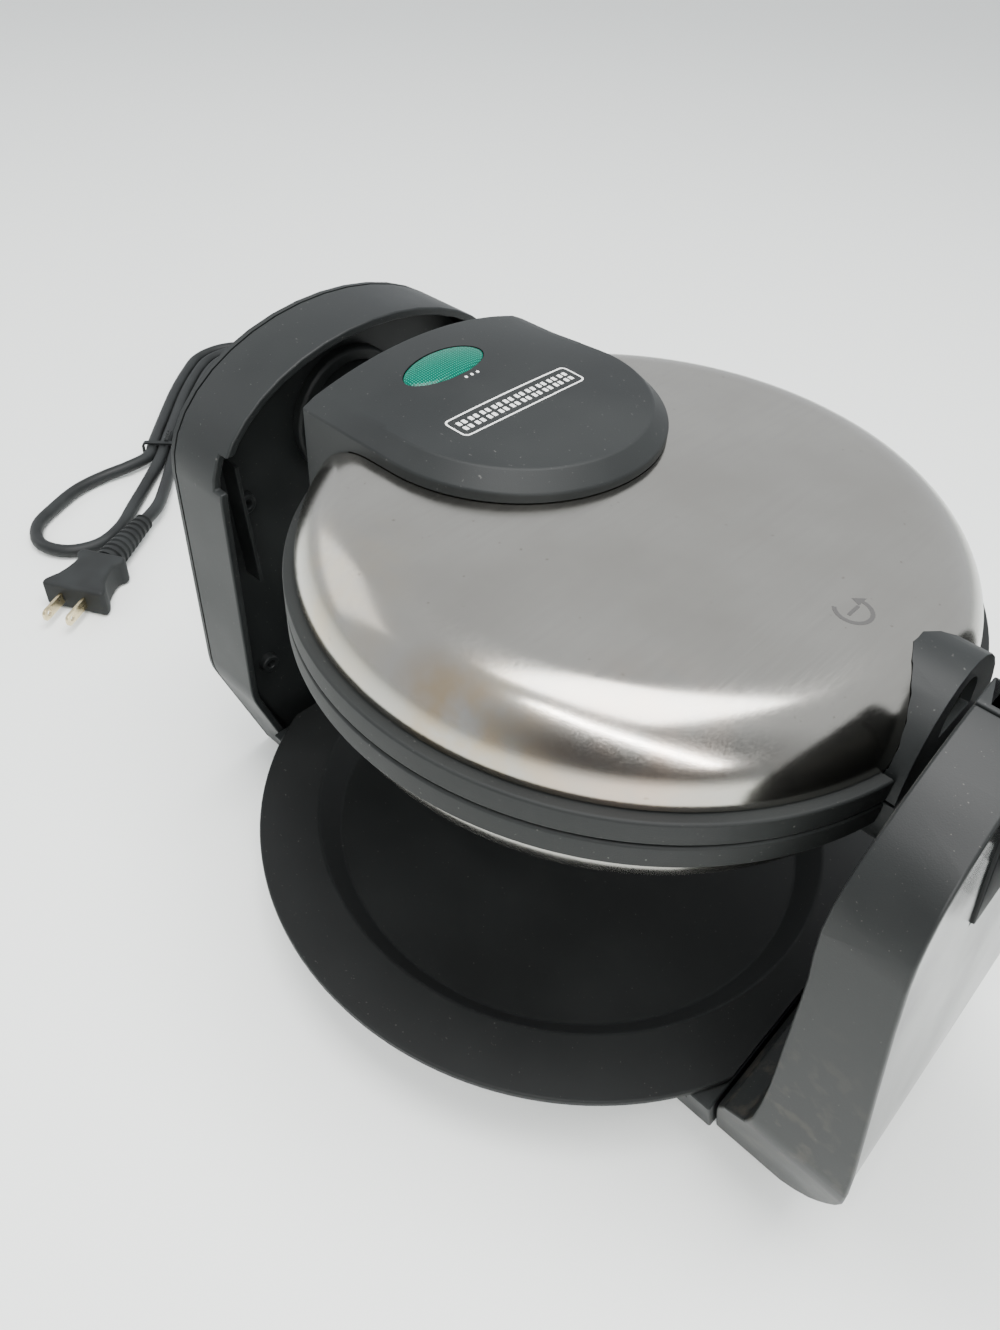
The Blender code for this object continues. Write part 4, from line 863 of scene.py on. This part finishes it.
def hinge_cover(half, side):
    cover = rounded(solid(flip_z(cover_shell(), side)), 0.7 * MM)
    room = prism(cover_outline(COVER_WALL, -5 * MM), "XY", -5 * MM, COVER_CEILING)
    seat = envelope(side, True)
    carve(seat, "DIFFERENCE", head_box(1, (-FAR, -FAR, -90 * MM), (POCKET_X, FAR, 90 * MM)))
    carve(cover, "DIFFERENCE", solid(flip_z(room, side)), seat)
    if side > 0:
        carve(cover, "DIFFERENCE", solid(prism(lens_outline(grow=GAP), "XY", 30 * MM, 60 * MM)))
    stand_in(cover, f"{half}_hinge_cover", "black")


def lens():
    """A domed oval that follows the housing's top."""
    def ring(share, rise):
        return [(x, y, cover_top(x, y) + rise) for x, y in lens_outline(share)]
    rings = [ring(1, -3 * MM), ring(1, -0.3 * MM)]
    rings += [ring(1 - 0.03 * i, -0.3 * MM + 0.5 * MM * sin(radians(22.5 * i))) for i in range(1, 4)]
    shares = (0.97, 0.9, 0.8, 0.65, 0.5, 0.3, 0.15)
    rings += [ring(0.9 * s, 0.2 * MM + 0.7 * MM * (1 - s * s)) for s in shares]
    tip = (LENS_X, LENS_Y, cover_top(LENS_X, LENS_Y) + 0.9 * MM)
    stand_in(solid(loft(rings, tip)), "indicator_lens", "lens")


def print_on(outlines, height, name, look, sink=0.15 * MM, rise=0.06 * MM):
    """Thin raised ink: each outline is (outer loop, inner loop or None), laid on a surface."""
    bm = bmesh.new()
    for outer, inner in outlines:
        loops = []
        for loop in (outer, inner):
            if loop:
                for lift in (-sink, rise):
                    loops.append([bm.verts.new((x, y, height(x, y) + lift)) for x, y in loop])
        count = len(outer)
        for i in range(count):
            j = (i + 1) % count
            bm.faces.new((loops[0][i], loops[0][j], loops[1][j], loops[1][i]))
            if inner:
                bm.faces.new((loops[2][j], loops[2][i], loops[3][i], loops[3][j]))
                bm.faces.new((loops[1][i], loops[1][j], loops[3][j], loops[3][i]))
                bm.faces.new((loops[0][j], loops[0][i], loops[2][i], loops[2][j]))
        if not inner:
            bm.faces.new(loops[1])
            bm.faces.new(loops[0][::-1])
    bmesh.ops.recalc_face_normals(bm, faces=bm.faces)
    attach(solid(mesh_of(bm)), name, "upper_half", look)


def shifted(points, x, y):
    return [(a + x, b + y) for a, b in points]


def dense(loop, longest=10 * MM, parts=12):
    """The loop with points added along its long sides, so that it follows a curved surface."""
    points = []
    for a, b in zip(loop, loop[1:] + loop[:1]):
        count = parts if (Vector(b) - Vector(a)).length > longest else 1
        points += [tuple(Vector(a).lerp(Vector(b), i / count)) for i in range(count)]
    return points


def marks():
    """Generic marks: a framed row of waffle cells, three dots by the lens, and a turning arrow."""
    frame_x = -48 * MM
    frame_y = -3 * MM
    outlines = [(shifted(dense(rounded_rectangle(5 * MM, 27 * MM, 2 * MM)), frame_x, frame_y),
                 shifted(dense(rounded_rectangle(4.4 * MM, 26.4 * MM, 1.5 * MM)), frame_x, frame_y))]
    for i in range(10):
        y = frame_y + (i - 4.5) * 5 * MM
        for x in (frame_x - 1.45 * MM, frame_x + 1.45 * MM):
            for offset in (-1.1 * MM, 1.1 * MM):
                cell = rounded_rectangle(0.95 * MM, 0.7 * MM, 0.2 * MM, 2)
                outlines.append((shifted(cell, x, y + offset), None))
    for i in range(3):
        dot = rounded_rectangle(0.55 * MM, 0.55 * MM, 0.5 * MM, 3)
        outlines.append((shifted(dot, -66 * MM, (-7 + 2.5 * i) * MM), None))
    print_on(outlines, cover_top, "cover_marks", "white_ink")

    centre = (71 * MM, -5 * MM)
    band = arc(centre, 5.5 * MM, -150, 90, 20) + arc(centre, 4.3 * MM, 90, -150, 20)
    tip = arc(centre, 4.9 * MM, 90, 125, 1)
    head = [(tip[0][0], tip[0][1] + 2 * MM), tip[1], (tip[0][0], tip[0][1] - 2 * MM)]
    bar = shifted(rounded_rectangle(0.5 * MM, 2.6 * MM, 0.2 * MM, 2), *centre)
    print_on([(band, None), (head, None), (bar, None)], dome_top, "dome_arrow", "dark_ink", rise=0.04 * MM)


def dome_top(x, y):
    flat = DOME_R - DOME_ROUND
    return DOME_H + DOME_CROWN * (1 - (x * x + y * y) / flat ** 2)


def grid_plate(half, side):
    """A round plate with a well, and tapered pegs that press the waffle's cells."""
    back = PLATE_FLOOR + PLATE_T
    rim_back = PLATE_FACE + PLATE_T
    profile = [(0, PLATE_FLOOR), (WELL_R - WELL_SLOPE, PLATE_FLOOR), (WELL_R, PLATE_FACE),
               (PLATE_R, PLATE_FACE), (PLATE_R, rim_back), (WELL_R + 3 * MM, rim_back), (WELL_R, back),
               (0, back)]
    plate = rounded(turned(mirrored(profile, side)), 0.6 * MM, 2, 20)
    bm = bmesh.new()
    reach = int(WELL_R / PEG_PITCH)
    low = PLATE_FLOOR + 1 * MM
    turn = Matrix.Rotation(pi / 4, 4, "Z")
    wide = PEG_SIZE / sqrt(2)
    slim = PEG_TAPER * wide
    ends = (slim, wide) if side > 0 else (wide, slim)
    for i in range(-reach, reach + 1):
        for j in range(-reach, reach + 1):
            x = i * PEG_PITCH
            y = j * PEG_PITCH
            if sqrt(x * x + y * y) < WELL_R - PEG_SIZE:
                move = Matrix.Translation((x, y, side * (PEG_TIP + low) / 2))
                bmesh.ops.create_cone(bm, cap_ends=True, segments=4, radius1=ends[0], radius2=ends[1],
                                      depth=low - PEG_TIP, matrix=move @ turn)
    pegs = rounded(solid(mesh_of(bm)), 0.9 * MM, 3)
    carve(plate, "UNION", pegs)
    carve(plate, "DIFFERENCE", rear_pocket(side, POCKET_X + GAP))
    stand_in(plate, f"{half}_grid_plate", "coated")


def hub():
    """Fluted end of the shaft: a neck, a flare and the ribs round it."""
    flare = HUB_END - HUB_FLARE
    core = [(0, HUB_START), (HUB_NECK_R, HUB_START), (HUB_NECK_R, flare - 3 * MM), (HUB_R, flare),
            (HUB_R, HUB_END), (0, HUB_END)]
    obj = rounded(turned(core, "X", steps=MEDIUM), 0.5 * MM, 2)
    rib = [(flare - 1 * MM, 10 * MM), (HUB_END - 0.5 * MM, 10 * MM), (HUB_END - 0.5 * MM, RIB_R),
           (HUB_END - 2 * MM, RIB_R), (flare - 1 * MM, HUB_R - 2 * MM)]
    for number in range(RIB_COUNT):
        mesh = prism(rib, "XZ", -RIB_HALF_T, RIB_HALF_T)
        mesh.transform(Matrix.Rotation(2 * pi * (number + 0.5) / RIB_COUNT, 4, "X"))
        carve(obj, "UNION", rounded(solid(mesh), 0.45 * MM, 2))
    stand_in(obj, "handle_hub", "black")


def pin_hole():
    return solid(cylinder(GRIP_PIN_R, (GRIP_PIN_X, -60 * MM, 0), 120 * MM, "Y"))


def handle():
    """Guard disc with ears, and the two shells of the grip with rounded edges."""
    profile = [(0, GUARD_X), (GUARD_R, GUARD_X), (GUARD_R, GUARD_X + GUARD_T), (0, GUARD_X + GUARD_T)]
    disc = rounded(turned(profile, "X", steps=MEDIUM), 1 * MM)
    ear_in = GRIP_HALF_W + 2 * GAP
    for y in (-ear_in - EAR_T, ear_in):
        outline = arc((GRIP_PIN_X, 0), EAR_R, -90, 90, 20)
        outline += [(GUARD_X + 1 * MM, EAR_R), (GUARD_X + 1 * MM, -EAR_R)]
        carve(disc, "UNION", rounded(solid(prism(outline, "XZ", y, y + EAR_T)), 0.6 * MM, 2))
    carve(disc, "DIFFERENCE", pin_hole())
    stand_in(disc, "handle_guard", "black")
    end = GRIP_END - GRIP_HALF_T
    inner = GRIP_HALF_T - GRIP_WALL
    reach = GRIP_HALF_W - GRIP_WALL - 1 * MM
    outline = arc((end, 0), GRIP_HALF_T, -90, 90, 24)
    outline += arc((GRIP_PIN_X, 0), GRIP_HALF_T, 90, 270, 24)[:-1]
    room = arc((end, 0), inner, -90, 90, 16)
    room += arc((GRIP_PIN_X + 12 * MM, 0), inner, 90, 270, 16)[:-1]
    for half, side in (("upper", 1), ("lower", -1)):
        grip = rounded(solid(prism(outline, "XZ", -GRIP_HALF_W, GRIP_HALF_W)), 3.5 * MM, 5)
        other = head_box(side, (100 * MM, -CUT_H, -CUT_H), (300 * MM, CUT_H, GAP / 2))
        carve(grip, "DIFFERENCE", solid(prism(room, "XZ", -reach, reach)), other, pin_hole())
        stand_in(grip, f"handle_grip_{half}", "black")


# ---- base -----------------------------------------------------------------------------------
def drip_tray():
    under = TRAY_HIGH.z - TRAY_RIM_T
    profile = [(0, TRAY_FLOOR_H - TRAY_T), (TRAY_FLOOR_R + 1.5 * MM, TRAY_FLOOR_H - TRAY_T),
               (TRAY_DISH_R + 1 * MM, under), (TRAY_R, under), (TRAY_R, TRAY_HIGH.z),
               (TRAY_DISH_R, TRAY_HIGH.z), (TRAY_FLOOR_R, TRAY_FLOOR_H), (0, TRAY_FLOOR_H)]
    tray = rounded(turned(profile, "Z", (TRAY_X, 0, 0), origin=FLOOR_POINT), 0.8 * MM, 3, 20)
    carve(tray, "DIFFERENCE", solid(box((-FAR, -FAR, 0), (TRAY_LOW.x, FAR, CUT_H)), FLOOR_POINT),
          solid(box((TRAY_HIGH.x, -FAR, 0), (FAR, FAR, CUT_H)), FLOOR_POINT))
    stand_in(tray, "drip_tray", "tray")


def left_details():
    """Two screw bosses and a slanted rib inside the left stand's recess, on both sides."""
    for side, name in ((-1, "near"), (1, "far")):
        for number, (y, z) in enumerate(((49.4, -19.6), (48.7, -98.7)), 1):
            start = (LEFT_WEB, side * y * MM, z * MM)
            profile = [(1.6 * MM, 0), (4.2 * MM, 0), (3.9 * MM, 2.6 * MM), (3.4 * MM, 3 * MM),
                       (2 * MM, 3 * MM), (1.6 * MM, 2.4 * MM)]
            attach(turned(profile, "X", start, SMALL), f"left_boss_{name}_{number}", "base", "black")
        top = (side * 55.5 * MM, 1.5 * MM)
        foot = (side * 51.4 * MM, -50 * MM)
        half = 0.8 * MM
        outline = [(top[0] - half, top[1]), (top[0] + half, top[1]), (foot[0] + half, foot[1]),
                   (foot[0] - half, foot[1])]
        rib = rounded(solid(prism(outline, "YZ", LEFT_WEB, LEFT_WEB + 9 * MM)), 0.4 * MM, 2)
        attach(rib, f"left_rib_{name}", "base", "black")


# ---- stage ----------------------------------------------------------------------------------
def area_light(name, middle, size, energy, along=(1, 0, 0)):
    """A flat light that faces the head's centre from a place, with its length along a direction."""
    data = bpy.data.lights.new(name, "AREA")
    data.shape = "RECTANGLE"
    data.size, data.size_y = size
    data.energy = energy
    obj = bpy.data.objects.new(name, data)
    bpy.context.scene.collection.objects.link(obj)
    back = Vector(middle).normalized()
    across = (Vector(along) - back * back.dot(Vector(along))).normalized()
    turn = Matrix((across, back.cross(across), back)).transposed().to_4x4()
    obj.matrix_world = Matrix.Translation(HEAD + Vector(middle)) @ turn


def studio():
    """Even light from all round, dimmer from the side that the steel's front shoulder mirrors."""
    world = bpy.data.worlds.new("studio")
    world.use_nodes = True
    nodes = world.node_tree.nodes
    links = world.node_tree.links
    background = nodes["Background"]
    background.inputs["Color"].default_value = (0.93, 0.96, 1.0, 1)
    direction = nodes.new("ShaderNodeTexCoord").outputs["Generated"]
    facing = nodes.new("ShaderNodeVectorMath")
    facing.operation = "DOT_PRODUCT"
    links.new(direction, facing.inputs[0])
    facing.inputs[1].default_value = Vector((0.68, -0.66, 0.3)).normalized()
    dimmed = nodes.new("ShaderNodeMapRange")
    links.new(facing.outputs["Value"], dimmed.inputs["Value"])
    dimmed.inputs["From Min"].default_value = 0.6
    dimmed.inputs["From Max"].default_value = 0.93
    dimmed.inputs["To Min"].default_value = 1.1
    dimmed.inputs["To Max"].default_value = 0.16
    links.new(dimmed.outputs[0], background.inputs["Strength"])
    bpy.context.scene.world = world
    area_light("overhead", (0.1, 0.05, 1.3), (0.9, 0.9), 32)
    area_light("strip", (0.5, -0.52, 0.62), (1.15, 0.03), 12, (1.0, 0.15, -0.7))
    area_light("side", (-1.3, -0.5, 0.6), (0.8, 0.8), 3.5, (0, 1, 0))


def stage():
    bm = bmesh.new()
    bmesh.ops.create_grid(bm, x_segments=1, y_segments=1, size=4)
    floor = solid(mesh_of(bm), Vector((0, 0, -0.2 * MM)))
    floor.name = "floor"
    look = Look("floor_sheet", None, roughness=0.7)
    look.color(look.mixed(look.noise(3, 4), (0.91, 0.935, 0.9), (0.94, 0.96, 0.93)))
    floor.data.materials.append(look.material)


# ---- whole ----------------------------------------------------------------------------------
# CAD nodes whose shape is right apart from its sharp edges, their looks, and the rounding in millimetres.
REFINED = (
    ("base_housing", "black", 0.8), ("base_plate", "black", 0.4), ("left_stand_shell", "black", 0.8),
    ("left_bearing_collar", "black", 0.4), ("left_stand_back_cover", "black", 0.5),
    ("right_stand_shell", "leg", 0.9), ("right_stand_outer_cover", "gloss", 0.6),
    ("cradle_cap", "black", 0.5), ("flip_lock", "gloss", 0.4), ("upper_front_bracket", "black", 0.5),
    ("lower_front_bracket", "black", 0.5), ("hinge_bracket", "zinc", 0.4), ("pivot_barrel", "black", 0.5),
    ("front_shaft", "black", 0.4), ("foot_1", "rubber", 0.4), ("foot_2", "rubber", 0.4),
    ("foot_3", "rubber", 0.4), ("foot_4", "rubber", 0.4), ("handle_pin", "zinc", 0.5),
    ("barrel_retainer", "zinc", 0.3))
KEPT = {
    "back_cover_screw_1": "zinc", "back_cover_screw_2": "zinc", "back_cover_screw_3": "zinc",
    "base_plate_screw_1": "zinc", "base_plate_screw_2": "zinc", "lower_heater": "zinc",
    "upper_heater": "zinc", "hinge_pin": "zinc", "lid_hinge_leaf": "zinc", "thermostat": "zinc",
    "wire_harness": "rubber", "indicator_lamp": "lamp", "thermal_fuse": "brass"}


def kept_nodes():
    """CAD nodes that stay get their materials."""
    for node, look in KEPT.items():
        obj = frame["nodes"][node]
        obj.data.materials.clear()
        obj.data.materials.append(LOOKS[look].material)


camera()
cord()
for half, side in (("upper", 1), ("lower", -1)):
    half_shells(half, side)
    hinge_cover(half, side)
    grid_plate(half, side)
lens()
marks()
hub()
handle()
drip_tray()
left_details()
for node, look, width in REFINED:
    refined(node, look, width * MM)
kept_nodes()
stage()
studio()
